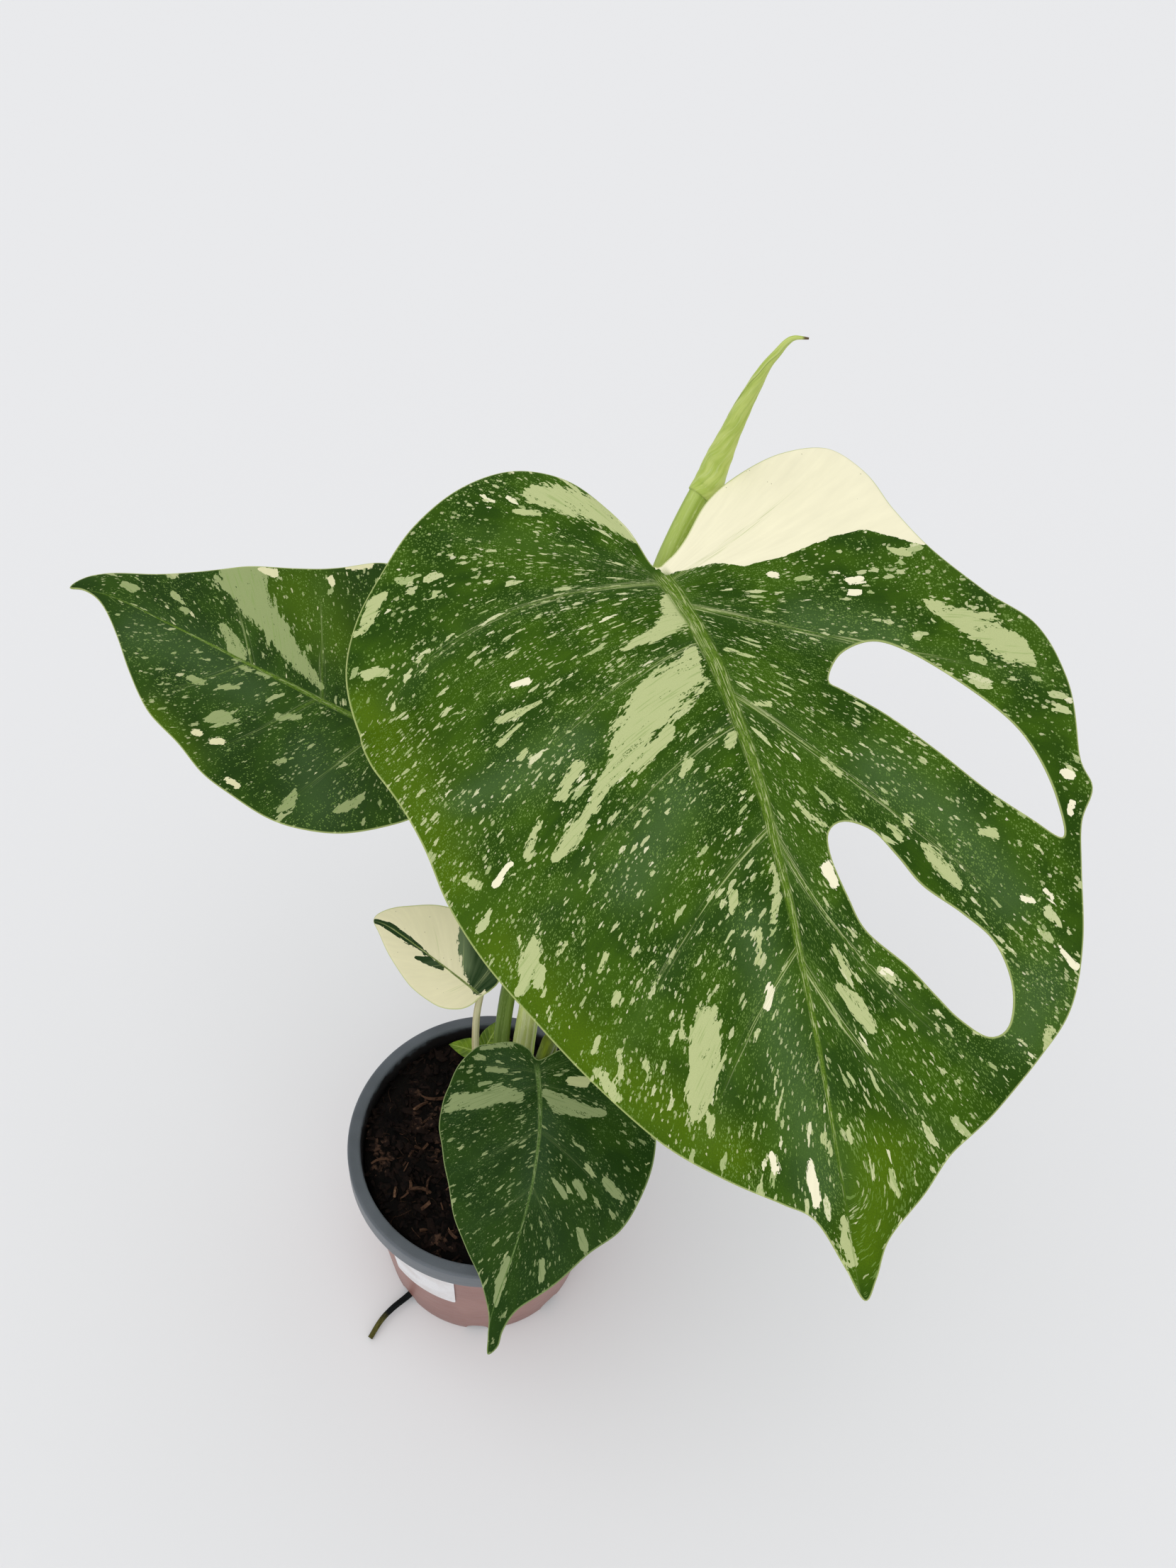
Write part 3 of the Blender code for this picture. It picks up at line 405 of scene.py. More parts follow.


# The four open leaves. Outlines, holes and veins are the same (u, v) measures as the solids'.
# A stroke is a chain of (u, v, half width). glow is yellow-green ground, and sheen is painted sheen, a
# blue-grey reflection painted on the ground.
largeLeaf = {
    "node": "leaf_large", "slot": "variegated_leaf", "grid": 1.3, "seed": 1.0, "fleckShare": 1.0,
    "tear": 0.4, "veinTone": 1.0, "colours": {},
    "junction": (37, 54, 363), "heading": -51, "slope": 15, "droop": 25, "roll": 10, "sweep": -25, "ease": 4,
    "tipTurn": 0, "fold": 4, "curl": 2.5, "length": 213.5, "halfWidth": 95, "wave": 1.6, "waveLength": 62,
    "valley": 1.0, "ribScale": 1.0, "petioleClear": 6, "ribWidth": 2.9,
    "outline": [(-4, 0), (-20, 1), (-38, -2), (-50, -9), (-57, -20), (-58, -36), (-53, -54), (-44, -70),
                (-34, -84), (-20, -95), (-2, -101), (18, -102), (36, -100), (65, -95), (86, -92),
                (106, -85), (127, -73), (145, -61), (163, -46), (175, -31), (184, -17), (190, -9),
                (204, -3), (214, 1), (208, 5), (198, 10), (188, 21), (179, 30), (170, 44), (158, 59),
                (147, 70), (130, 78), (111, 84), (99, 88), (91, 94), (82, 93), (62, 100), (47, 100),
                (36, 89), (23, 80), (11, 78), (-1, 81), (-14, 77), (-19, 61), (-18, 42), (-14, 27),
                (-6, 13), (-3, 5)],
    "holes": [[(48, 29), (42, 36), (41, 47), (47, 57), (58, 67), (70, 76), (80, 80), (92, 82),
               (102, 81), (96, 73), (86, 62), (74, 52), (61, 41), (52, 32)],
              [(89, 15), (87, 20), (91, 27), (99, 32), (108, 37), (117, 46), (126, 53), (138, 55),
               (148, 52), (150, 46), (144, 39), (137, 34), (128, 28), (117, 19), (107, 16), (96, 14)]],
    "veins": [[(3, 0), (-24, -20), (-46, -46)], [(4, 0), (-22, -50), (-4, -90)],
              [(25, 0), (26, -38), (66, -84)], [(52, 0), (62, -34), (104, -74)],
              [(84, 0), (98, -24), (138, -54)], [(118, 0), (132, -16), (162, -34)],
              [(3, 0), (2, 34), (-8, 66)], [(12, 0), (44, 36), (58, 92)],
              [(42, 0), (74, 22), (126, 68)], [(82, 0), (122, 6), (160, 46)],
              [(122, 0), (146, 8), (174, 28)]],
    "faint": {0: 0.25, 2: 0.7, 3: 0.6},
    "sage": [[(27, -4, 1.3), (34, -10, 6.5), (39, -22, 7.2), (47, -30, 6), (54, -35, 4.1), (59, -41, 2.3),
              (68, -49, 1.8), (76, -56, 2.3), (80, -61, 1)], [(50, -20, 1.6), (58, -33, 2)],
             [(9, -3, 2.2), (16, -5, 4), (18, -12, 2.5), (19, -24, 0.8)],
             [(-43, -15, 4.4), (-38, -10, 5.5), (-30, -5, 4.8), (-23, -2, 2.9), (-14, 0, 0.8)],
             [(-41, -25, 1), (-37, -20, 1.4)], [(-37, -73, 1.1), (-36, -77, 2.5), (-32, -82, 1.9)],
             [(-30, -83, 0.9), (-30, -86, 1.3)], [(-16, -91, 1.6), (-13, -86, 1.8)],
             [(26, -52, 0.8), (27, -64, 1.6)], [(31, -59, 1), (36, -67, 1.2)],
             [(53, -48, 1.8), (61, -55, 1.8)], [(66, -62, 0.7), (77, -68, 1.3)],
             [(79, -86, 1), (82, -83, 1.4)], [(55, -2, 0.9), (58, -5, 1.6)], [(60, -18, 1.6), (64, -21, 1)],
             [(35, 68, 0.9), (39, 72, 2.4), (44, 79, 3.9), (48, 85, 5.4), (53, 90, 4.3), (56, 92, 1.7)],
             [(97, 40, 0.9), (101, 42, 2.1), (105, 45, 2.4), (109, 47, 1.4)], [(97, 57, 1), (98, 61, 1.6)],
             [(90, 32, 0.9), (94, 34, 1.2)], [(95, -2, 0.9), (103, -3, 1.3), (110, -6, 1.1)],
             [(132, -29, 3.6), (139, -30, 4.7), (147, -32, 4.4), (153, -34, 3.6), (157, -36, 1.9)],
             [(158, -32, 1), (163, -33, 0.7)], [(101, -70, 0.9), (106, -72, 2.7), (116, -77, 1.4)],
             [(111, -71, 2), (118, -71, 0.7)], [(111, -10, 0.8), (120, -12, 1)],
             [(141, -60, 0.9), (144, -58, 1.6), (149, -56, 1)], [(137, -53, 0.8), (144, -54, 1)],
             [(119, 9, 0.8), (128, 12, 1)], [(130, 8, 0.9), (134, 11, 2.1), (139, 14, 1.5), (143, 15, 0.8)],
             [(168, -3, 1), (173, -2, 0.9)], [(180, 13, 0.9), (183, 13, 1.2), (187, 14, 0.8)],
             [(191, -1, 0.9), (197, -2, 1.7), (203, -1, 1.5)], [(151, 63, 1.3), (156, 61, 0.9)],
             [(69, 19, 1), (74, 23, 0.9)], [(42, -60, 0.8), (44, -63, 1.1)], [(52, 74, 0.7), (53, 77, 1.3)],
             [(20, 67, 0.8), (23, 72, 1.1)], [(30, 4, 0.5), (37, 12, 0.5)], [(48, 6, 0.7), (50, 10, 0.9)],
             [(90, 37, 0.9), (93, 38, 0.5)], [(79, 8, 0.5), (85, 12, 0.6), (88, 15, 0.4)],
             [(158, -36, 0.7), (161, -36, 0.5)], [(100, -15, 1.2), (105, -16, 0.9)],
             [(121, -51, 0.6), (124, -52, 1)], [(132, -58, 0.7), (136, -60, 0.8)],
             [(141, -47, 1.1), (145, -46, 0.5)], [(110, -52, 0.8), (115, -55, 0.5)],
             [(105, -63, 0.9), (108, -65, 0.8)], [(131, -35, 0.8), (136, -36, 0.8)],
             [(139, 11, 0.7), (143, 11, 0.5)], [(167, 4, 0.8), (171, 4, 0.6)],
             [(161, -21, 0.5), (165, -22, 0.5)], [(160, 35, 0.6), (165, 35, 0.4)]],
    "cream": [[(15, 28, 0.9), (16, 30, 0.9)], [(128, 21, 0.7), (129, 23, 0.7)],
              [(116, 64, 0.7), (117, 67, 0.7)], [(15, -57, 1), (16, -53, 1.4)],
              [(78, -73, 0.9), (83, -78, 1)], [(24, 49, 1.1), (25, 53, 1.1)],
              [(27, 47, 0.9), (28, 50, 0.9)], [(86, 86, 1.1), (87, 88, 1.3)],
              [(94, 86, 1.1), (96, 85, 1.1)], [(98, 12, 1.6), (103, 13, 1.4)],
              [(127, -10, 1.1), (132, -12, 0.9)], [(174, -8, 0.8), (179, -8, 1.5), (185, -8, 1.3)],
              [(131, 71, 0.9), (136, 74, 1.1)], [(115, 71, 0.8), (118, 73, 0.9)],
              [(170, -18, 0.9), (175, -17, 1)]],
    "green": [], "creamLobe": [(1, 1), (5, 16), (10, 23), (12, 36), (12, 52), (13, 63), (22, 78)],
    "glow": [[(-7, -97, 6), (29, -96, 10), (77, -91, 7)], [(104, -80, 8), (137, -62, 8), (169, -28, 6)],
             [(177, 12, 8), (200, 3, 6)]],
    "sheen": [[(44, -47, 6), (49, -61, 7), (53, -80, 5)], [(110, -12, 5), (153, -8, 6), (180, -6, 6)],
              [(75, 33, 6), (92, 49, 6), (115, 60, 6)], [(30, 30, 5), (42, 52, 5)],
              [(70, -24, 6), (92, -42, 6)], [(150, 56, 6), (140, 62, 8)]],
}
leftLeaf = {
    "node": "leaf_left", "slot": "variegated_leaf", "grid": 1.2, "seed": 11.0, "fleckShare": 0.65,
    "tear": 0.36, "veinTone": 0.7,
    "colours": {"deepGreen": (33, 60, 9), "freshGreen": (46, 76, 12), "blueGreen": (62, 88, 46),
                "sage": (150, 164, 108), "yellowGreen": (70, 100, 8), "cream": (228, 224, 178)},
    "junction": (-38, 45, 286), "heading": 156, "slope": -8, "droop": 15, "roll": -30, "sweep": -2,
    "ease": 1, "tipTurn": 25, "fold": -8, "curl": 3, "length": 153.5, "halfWidth": 50, "wave": 1.2,
    "waveLength": 48, "valley": 0.8, "ribScale": 0.8, "petioleClear": 5, "ribWidth": 1.3,
    "outline": [(-4, 0), (-11, -3), (-19, -9), (-22, -20), (-17, -34), (-7, -46), (7, -54), (22, -58),
                (37, -59), (50, -57), (64, -48), (78, -40), (95, -32), (109, -23), (125, -14),
                (142, -8), (149, -5), (154, -1), (147, 0), (136, 4), (122, 13), (110, 22), (96, 31),
                (79, 36), (65, 41), (51, 43), (36, 44), (22, 42), (8, 37), (-5, 28), (-14, 19),
                (-17, 11), (-12, 5)],
    "holes": [],
    "veins": [[(3, 0), (2, -24), (-8, -38)], [(10, 0), (24, -30), (36, -52)],
              [(36, 0), (50, -22), (66, -40)], [(66, 0), (80, -14), (97, -25)],
              [(3, 0), (-2, 12), (-8, 20)], [(12, 0), (22, 20), (32, 38)],
              [(38, 0), (50, 18), (66, 34)], [(68, 0), (80, 13), (98, 25)]],
    "sage": [[(94, -31, 9.8), (83, -23, 6.8), (71, -17, 4.6), (59, -12, 3.6), (49, -8, 2.5), (39, -4, 0.9)],
             [(85, -8, 1.3), (78, -5, 2), (73, -2, 3.1)], [(30, 32, 1.2), (30, 36, 2.2), (33, 40, 1)],
             [(7, 23, 1), (10, 28, 1.6), (13, 31, 1)], [(64, 20, 1.7), (68, 21, 2.1), (72, 24, 0.9)],
             [(48, 12, 1.2), (40, 8, 0.9)], [(74, 12, 0.9), (66, 9, 0.9)], [(86, 14, 1.1), (79, 13, 0.9)],
             [(70, 2, 0.9), (58, 1, 0.9)], [(132, -6, 1), (126, -6, 1.6)], [(104, -7, 1), (101, -7, 1.1)],
             [(41, 26, 1), (38, 24, 0.9)], [(12, -20, 2), (20, -30, 1.4)], [(0, -30, 1.5), (6, -40, 1)]],
    "cream": [[(88, -34, 0.9), (82, -35, 1.7)], [(60, -50, 1.4), (53, -54, 1.6)],
              [(55, 39, 0.9), (50, 39, 1.1)], [(75, 30, 0.9), (72, 29, 1.1)],
              [(67, 30, 1.2), (63, 28, 1.4)], [(63, -43, 1.2), (60, -41, 1.1)]],
    "green": [], "creamLobe": None, "faint": {},
    "glow": [[(71, 41, 6), (95, 31, 5)], [(73, -33, 12), (45, -21, 8)]],
    "sheen": [[(116, 8, 7), (91, 6, 7), (60, 8, 6)], [(20, 30, 10), (30, 20, 8)]],
}
frontLeaf = {
    "node": "leaf_front", "slot": "variegated_leaf", "grid": 1.0, "seed": 23.0, "fleckShare": 0.85,
    "tear": 0.3, "veinTone": 0.25,
    # these greens are set darker than the large leaf's: painted shade from the leaves above it
    "colours": {"deepGreen": (31, 58, 12), "freshGreen": (41, 69, 14), "blueGreen": (48, 73, 38),
                "sage": (140, 154, 104), "dotGreen": (84, 110, 56), "ribGreen": (106, 134, 70),
                "cream": (184, 190, 136), "edgeGreen": (146, 164, 104)},
    "junction": (17, -4, 170), "heading": -75.5, "slope": 9, "droop": 25, "roll": 10, "sweep": -41.5,
    "ease": 1.5, "tipTurn": 38, "fold": 0, "curl": 4, "length": 103.5, "halfWidth": 40, "wave": 0.9,
    "waveLength": 36, "valley": 0.7, "ribScale": 0.65, "petioleClear": 4, "ribWidth": 1.1,
    "outline": [(-3, 1), (-8, -2), (-12, -8), (-13, -16), (-13, -22), (-7, -30), (4, -36), (14, -38.5),
                (23, -39), (33, -37), (43, -35), (51, -32), (64, -26), (74, -17), (82, -7.5), (90, -1.5),
                (98, 0), (104, 0), (101, 4), (94, 5.5), (84, 9), (72, 18), (60, 26), (51, 35), (41, 40),
                (30, 43), (18, 43), (7, 40), (-1, 34), (-7, 26), (-8, 17), (-5, 9)],
    "holes": [],
    "veins": [[(2, 0), (-4, -14), (-6, -23)], [(7, 0), (12, -19), (20, -34)],
              [(24, 0), (32, -14), (44, -30)], [(44, 0), (54, -9), (66, -19)],
              [(2, 0), (-1, 16), (-2, 27)], [(7, 0), (14, 20), (20, 38)],
              [(24, 0), (34, 16), (46, 33)], [(44, 0), (54, 9), (66, 18)]],
    "sage": [[(11, -8, 2.4), (9, -15, 4.2), (11, -23, 3.4), (10, -31, 4.5), (13, -35, 2.6)],
             [(10, 2, 1.4), (15, 8, 3.7), (17, 16, 2.5), (18, 24, 0.9)], [(40, 16, 1.2), (44, 20, 0.9)],
             [(38, 26, 1), (41, 31, 1.9), (42, 33, 0.9)], [(54, 21, 1.2), (58, 24, 1.5)],
             [(71, -1, 1.4), (79, -1, 1.7), (86, 0, 1)], [(67, 11, 1.2), (72, 13, 1.3)],
             [(40, 7, 0.8), (45, 13, 1.2)], [(-3, -19, 1.1), (-1, -12, 1.3)], [(-12, -20, 1), (-11, -8, 1)],
             [(3, -22, 1.1), (3, -18, 0.8)]],
    "cream": [[(7, 12, 1.5), (8, 18, 1.7)]],
    "green": [], "creamLobe": None, "faint": {}, "glow": [],
    "sheen": [[(20, 2, 5), (45, 0, 5)], [(-4, -14, 7), (4, -6, 6)]],
}
smallLeaf = {
    "node": "leaf_small", "slot": "cream_leaf", "grid": 0.8, "seed": 37.0, "fleckShare": 0.3,
    "tear": 0.3, "veinTone": 0.5,
    # the lobe at its base is green, and its deep green is made dark as painted shade from the leaves above
    # it
    "colours": {"deepGreen": (30, 56, 20), "blueGreen": (104, 122, 84), "ribGreen": (140, 150, 90),
                "cream": (238, 231, 190)},
    "junction": (-10, 22, 175), "heading": 143, "slope": -6, "droop": 15, "roll": -40, "sweep": 8.5,
    "ease": 1, "tipTurn": 23, "fold": -5, "curl": 6, "length": 58.5, "halfWidth": 18, "wave": 0.6,
    "waveLength": 22, "valley": 0.4, "ribScale": 0.42, "petioleClear": 2.6, "ribWidth": 0.6,
    "outline": [(-2, 1), (-4, -4), (-4.5, -9), (-1, -14), (6, -18.5), (15, -21), (26, -21), (35, -18.5),
                (45, -12.5), (54, -6), (59, -0.5), (54, 4.5), (45, 9.5), (35, 13.5), (25, 15.5), (15, 15.5),
                (8, 13.5), (2, 9.5), (-1, 5)],
    "holes": [],
    "veins": [[(2, 0), (1, -8), (2, -15)], [(8, 0), (14, -9), (21, -17)], [(20, 0), (27, -7), (35, -12)],
              [(6, 0), (9, 6), (14, 11.5)], [(18, 0), (24, 6), (32, 10)]],
    "sage": [], "cream": [[(28, 0, 60), (30, 0, 60)]],
    "green": [[(58, 0, 0.9), (50, 0, 1.6), (41, 0, 1.7), (32, 0, 1.0), (27, 0, 0.6)],
              [(31, 4, 0.7), (25, 2, 1.7), (18, 1, 0.7)],
              [(22, -20, 2.6), (14, -13, 5), (6, -7, 5), (1, -2, 3)],
              [(8, -17, 4), (0, -12, 4), (-3, -5, 3)]],
    "creamLobe": None, "faint": {}, "glow": [], "sheen": [[(25, -19, 3), (18, -12, 3), (11, -5, 3)]],
}


def smoothPath(points, step, closed=False, fewest=1):
    # even samples of a Catmull-Rom curve, the same curve that the solids follow
    points = [Vector(p) for p in points]
    if closed:
        ring = [points[-1]] + points + points[:2]
        spans = len(points)
    else:
        ring = [2 * points[0] - points[1]] + points + [2 * points[-1] - points[-2]]
        spans = len(points) - 1
    samples = []
    for i in range(spans):
        a, b, c, d = ring[i:i + 4]
        pieces = max(fewest, round((c - b).length / step))
        for k in range(pieces):
            t = k / pieces
            samples.append(0.5 * (2 * b + (c - a) * t + (2 * a - 5 * b + 4 * c - d) * t * t
                                  + (3 * b - a - 3 * c + d) * t ** 3))
    if not closed:
        samples.append(points[-1])
    return samples


def storeValues(mesh, fields):
    for name, values in fields.items():
        layer = mesh.attributes.new(name, "FLOAT", "POINT")
        layer.data.foreach_set("value", np.array(values, np.float32))


def facesOut(mesh, merge=0.0):
    bm = bmesh.new()
    bm.from_mesh(mesh)
    if merge:
        bmesh.ops.remove_doubles(bm, verts=bm.verts, dist=merge)
    bmesh.ops.recalc_face_normals(bm, faces=bm.faces)
    bm.to_mesh(mesh)
    bm.free()


def sheetFaces(rows, columns, first=0):
    # two grids of points, one over the other, with walls between their borders
    half = (rows + 1) * (columns + 1)
    at = lambda sheet, j, i: first + sheet * half + j * (columns + 1) + i
    faces = []
    for j in range(rows):
        for i in range(columns):
            faces.append((at(0, j, i), at(0, j + 1, i), at(0, j + 1, i + 1), at(0, j, i + 1)))
            faces.append((at(1, j, i), at(1, j, i + 1), at(1, j + 1, i + 1), at(1, j + 1, i)))
        faces += [(at(0, j, i), at(1, j, i), at(1, j + 1, i), at(0, j + 1, i)) for i in (0, columns)]
    for i in range(columns):
        faces += [(at(0, j, i), at(1, j, i), at(1, j, i + 1), at(0, j, i + 1)) for j in (0, rows)]
    return faces


def plainMesh(obj):
    # the mesh that an object's modifiers make
    depsgraph = bpy.context.evaluated_depsgraph_get()
    return bpy.data.meshes.new_from_object(obj.evaluated_get(depsgraph), preserve_all_data_layers=True,
                                           depsgraph=depsgraph)


def finishPiece(piece, node):
    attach(piece, "root")
    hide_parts(node)
    print(piece.name, len(piece.data.polygons), "faces")


def insideLoop(spots, loop):
    x, y = spots[:, 0], spots[:, 1]
    found = np.zeros(len(spots), bool)
    for (x0, y0), (x1, y1) in zip(loop, np.roll(loop, -1, axis=0)):
        crosses = (y0 > y) != (y1 > y)
        with np.errstate(divide="ignore", invalid="ignore"):
            found ^= crosses & (x < (x1 - x0) * (y - y0) / (y1 - y0) + x0)
    return found


def gapToChain(spots, chain, closed=False):
    # distance to a chain of points, and the share of the way along the nearest span
    chain = np.asarray(chain, float)
    ends = np.roll(chain, -1, axis=0) if closed else chain[1:]
    starts = chain if closed else chain[:-1]
    nearest = np.full(len(spots), 1e9)
    where = np.zeros(len(spots))
    for number, (start, end) in enumerate(zip(starts, ends)):
        span = end - start
        share = np.clip(((spots - start) @ span) / max(1e-9, span @ span), 0, 1)
        gap = np.hypot(*(spots - start - share[:, None] * span).T)
        closer = gap < nearest
        nearest = np.where(closer, gap, nearest)
        where = np.where(closer, number + share, where)
    return nearest, where


def strokeField(spots, strokes):
    # above 0 inside a stroke; scaled so that a torn edge suits broad and thin strokes alike
    field = np.full(len(spots), -4.0)
    for stroke in strokes:
        stroke = np.array(stroke, float)
        gap, where = gapToChain(spots, stroke[:, :2])
        width = np.interp(where, range(len(stroke)), stroke[:, 2])
        field = np.maximum(field, np.clip((width - gap) / (0.5 + 0.5 * width), -4, 4))
    return field


def softField(spots, strokes):
    field = np.zeros(len(spots))
    for stroke in strokes:
        stroke = np.array(stroke, float)
        gap, where = gapToChain(spots, stroke[:, :2])
        width = np.interp(where, range(len(stroke)), stroke[:, 2])
        field = np.maximum(field, np.exp(-(gap / (1.25 * width)) ** 2))
    return field


def veinChain(vein, pieces=24):
    start, pull, end = [np.array(p, float) for p in vein]
    t = np.linspace(0, 1, pieces + 1)[:, None]
    return (1 - t) ** 2 * start + 2 * t * (1 - t) * pull + t * t * end


# a fan of curves between the veins, and how far it runs past the outer ones and past their ends
fibreFan = {"curves": 260, "steps": 70, "before": 0.7, "after": 0.3, "ends": 1.4, "leastSpread": 4.0,
            "leastCross": 30}


def fibreField(leaf, spots, side):
    # (length along, place across) of the fibre through each spot, with fibres spread between the veins
    veins = np.array([vein for vein in leaf["veins"] if vein[1][1] * side > 0], float)
    places = np.linspace(-fibreFan["before"], len(veins) + fibreFan["after"], fibreFan["curves"])
    lower = np.clip(np.floor(places).astype(int), 0, len(veins) - 2)
    change = veins[lower + 1] - veins[lower]
    control = veins[lower] + (places - lower)[:, None, None] * change
    t = np.linspace(0, fibreFan["ends"], fibreFan["steps"])[None, :, None]
    blend = lambda c: (1 - t) ** 2 * c[:, None, 0] + 2 * t * (1 - t) * c[:, None, 1] + t * t * c[:, None, 2]
    curve = blend(control)
    sideways = blend(change)
    ahead = 2 * (1 - t) * (control[:, None, 1] - control[:, None, 0])
    ahead += 2 * t * (control[:, None, 2] - control[:, None, 1])
    steps = np.hypot(*np.moveaxis(np.diff(curve, axis=1), 2, 0))
    along = np.concatenate([np.zeros((len(places), 1)), np.cumsum(steps, axis=1)], axis=1)
    middle = fibreFan["steps"] // 2
    unit = ahead[:, middle] / np.hypot(*ahead[:, middle].T)[:, None]
    spread = abs(sideways[:, middle, 0] * unit[:, 1] - sideways[:, middle, 1] * unit[:, 0])
    spread = np.maximum(spread, fibreFan["leastSpread"])
    across = np.cumsum(spread) * (places[1] - places[0])

    tree = KDTree(curve.shape[0] * curve.shape[1])
    flat = curve.reshape(-1, 2)
    for number, (x, y) in enumerate(flat):
        tree.insert((x, y, 0), number)
    tree.balance()
    nearest = np.array([tree.find((x, y, 0))[1] for x, y in spots])
    row, column = nearest // curve.shape[1], nearest % curve.shape[1]
    rest = spots - flat[nearest]
    a, b = sideways[row, column], ahead[row, column]
    cross = a[:, 0] * b[:, 1] - a[:, 1] * b[:, 0]
    least = fibreFan["leastCross"]
    cross = np.where(abs(cross) < least, np.where(cross < 0, -least, least), cross)
    stepAcross = np.clip((rest[:, 0] * b[:, 1] - rest[:, 1] * b[:, 0]) / cross, -0.5, 0.5)
    stepAlong = np.clip((a[:, 0] * rest[:, 1] - a[:, 1] * rest[:, 0]) / cross, -0.5, 0.5)
    alongHere = along[row, column] + stepAlong * np.hypot(*b.T)
    acrossHere = across[row] + stepAcross * spread[row]
    return np.stack([alongHere, acrossHere + 300 * (side > 0)], 1) / 10


def ribHalfWidth(leaf, u, base):
    return base * (0.1 + 0.9 * (1 - np.clip(u / leaf["length"], 0, 1)) ** 1.5)


def insetRing(loop, depth, inward):
    ahead = np.roll(loop, -1, axis=0) - np.roll(loop, 1, axis=0)
    normal = np.stack([-ahead[:, 1], ahead[:, 0]], 1) / np.hypot(*ahead.T)[:, None]
    return loop + normal * depth * inward


def turnsLeft(loop):
    x, y = loop[:, 0], loop[:, 1]
    return 1 if (x * np.roll(y, -1) - y * np.roll(x, -1)).sum() > 0 else -1


# rings inside each edge, lines beside the midrib and veins, and the room that each point keeps
meshing = {"rings": (0.3, 0.7, 1.3), "ribLines": (-1.5, -1, -0.5, 0.5, 1, 1.5), "veinLine": 0.6,
           "edgeRoom": 0.22, "lineRoom": 0.28, "gridRoom": 0.62, "mostRoom": 0.95}


def bladeLayout(leaf):
    # flat triangles in (u, v) that follow the edge, the holes, the midrib and the veins
    grid = leaf["grid"]
    flat = lambda points: np.array([(p[0], p[1]) for p in smoothPath(points, grid, True)])
    outline = flat(leaf["outline"])
    holes = [flat(hole) for hole in leaf["holes"]]
    loops = [(outline, turnsLeft(outline))] + [(hole, -turnsLeft(hole)) for hole in holes]

    def onBlade(spots):
        kept = insideLoop(spots, outline)
        for hole in holes:
            kept &= ~insideLoop(spots, hole)
        return kept

    fixed = [loop for loop, _ in loops]
    length = leaf["length"]
    ribSpots = np.arange(-2.0, length - 1, grid)
    ribLine = np.stack([ribSpots, 0 * ribSpots], 1)
    ribLine = ribLine[onBlade(ribLine)]
    fixed.append(ribLine)
    count = 0
    edges = []
    for number, line in enumerate(fixed):
        last = len(line) - 1
        edges += [(count + k, count + k + 1) for k in range(last)]
        if number < len(loops):
            edges.append((count + last, count))
        count += len(line)

    loose = []
    for loop, inward in loops:
        for depth in meshing["rings"]:
            loose.append(insetRing(loop, depth, inward))
    for flank in meshing["ribLines"]:
        width = ribHalfWidth(leaf, ribLine[:, 0], leaf["ribWidth"])
        loose.append(np.stack([ribLine[:, 0], flank * np.maximum(width, 0.35)], 1))
    for vein in leaf["veins"]:
        chain = veinChain(vein, max(6, int(1.1 * np.hypot(*(np.array(vein[2]) - vein[0])) / grid)))
        ahead = np.gradient(chain, axis=0)
        sidewards = np.stack([-ahead[:, 1], ahead[:, 0]], 1) / np.hypot(*ahead.T)[:, None]
        loose += [chain + shift * meshing["veinLine"] * sidewards for shift in (0, 1, -1)]
    loose = np.concatenate(loose)
    loose = loose[onBlade(loose)]
    for loop, _ in loops:
        loose = loose[gapToChain(loose, loop, True)[0] > meshing["edgeRoom"]]

    low, high = outline.min(0), outline.max(0)
    rise = grid * math.sqrt(0.75)
    rows = np.arange(low[1], high[1], rise)
    across = np.arange(low[0], high[0], grid)
    hexagons = [np.stack([across + 0.5 * grid * (k % 2), 0 * across + y], 1) for k, y in enumerate(rows)]
    hexagons = np.concatenate(hexagons)
    hexagons = hexagons[onBlade(hexagons)]

    fixed = np.concatenate(fixed)
    taken = list(fixed)
    cells = {}

    def tooNear(x, y, clear):
        cx, cy = int(x // 1.0), int(y // 1.0)
        for i in (-1, 0, 1):
            for j in (-1, 0, 1):
                for px, py in cells.get((cx + i, cy + j), ()):
                    if (px - x) ** 2 + (py - y) ** 2 < clear * clear:
                        return True
        return False

    for x, y in fixed:
        cells.setdefault((int(x // 1.0), int(y // 1.0)), []).append((x, y))
    gridRoom = min(meshing["mostRoom"], meshing["gridRoom"] * grid)
    for spots, clear in ((loose, meshing["lineRoom"]), (hexagons, gridRoom)):
        for x, y in spots:
            if not tooNear(x, y, clear):
                cells.setdefault((int(x // 1.0), int(y // 1.0)), []).append((x, y))
                taken.append((x, y))
    verts, _, faces, _, _, _ = delaunay_2d_cdt([Vector(p) for p in taken], edges, [], 0, 1e-5)
    spots = np.array([(v[0], v[1]) for v in verts])
    faces = np.array([face for face in faces if len(face) == 3])
    faces = faces[onBlade(spots[faces].mean(1))]
    used = np.unique(faces)
    number = np.zeros(len(spots), int)
    number[used] = range(len(used))
    return spots[used], number[faces], loops


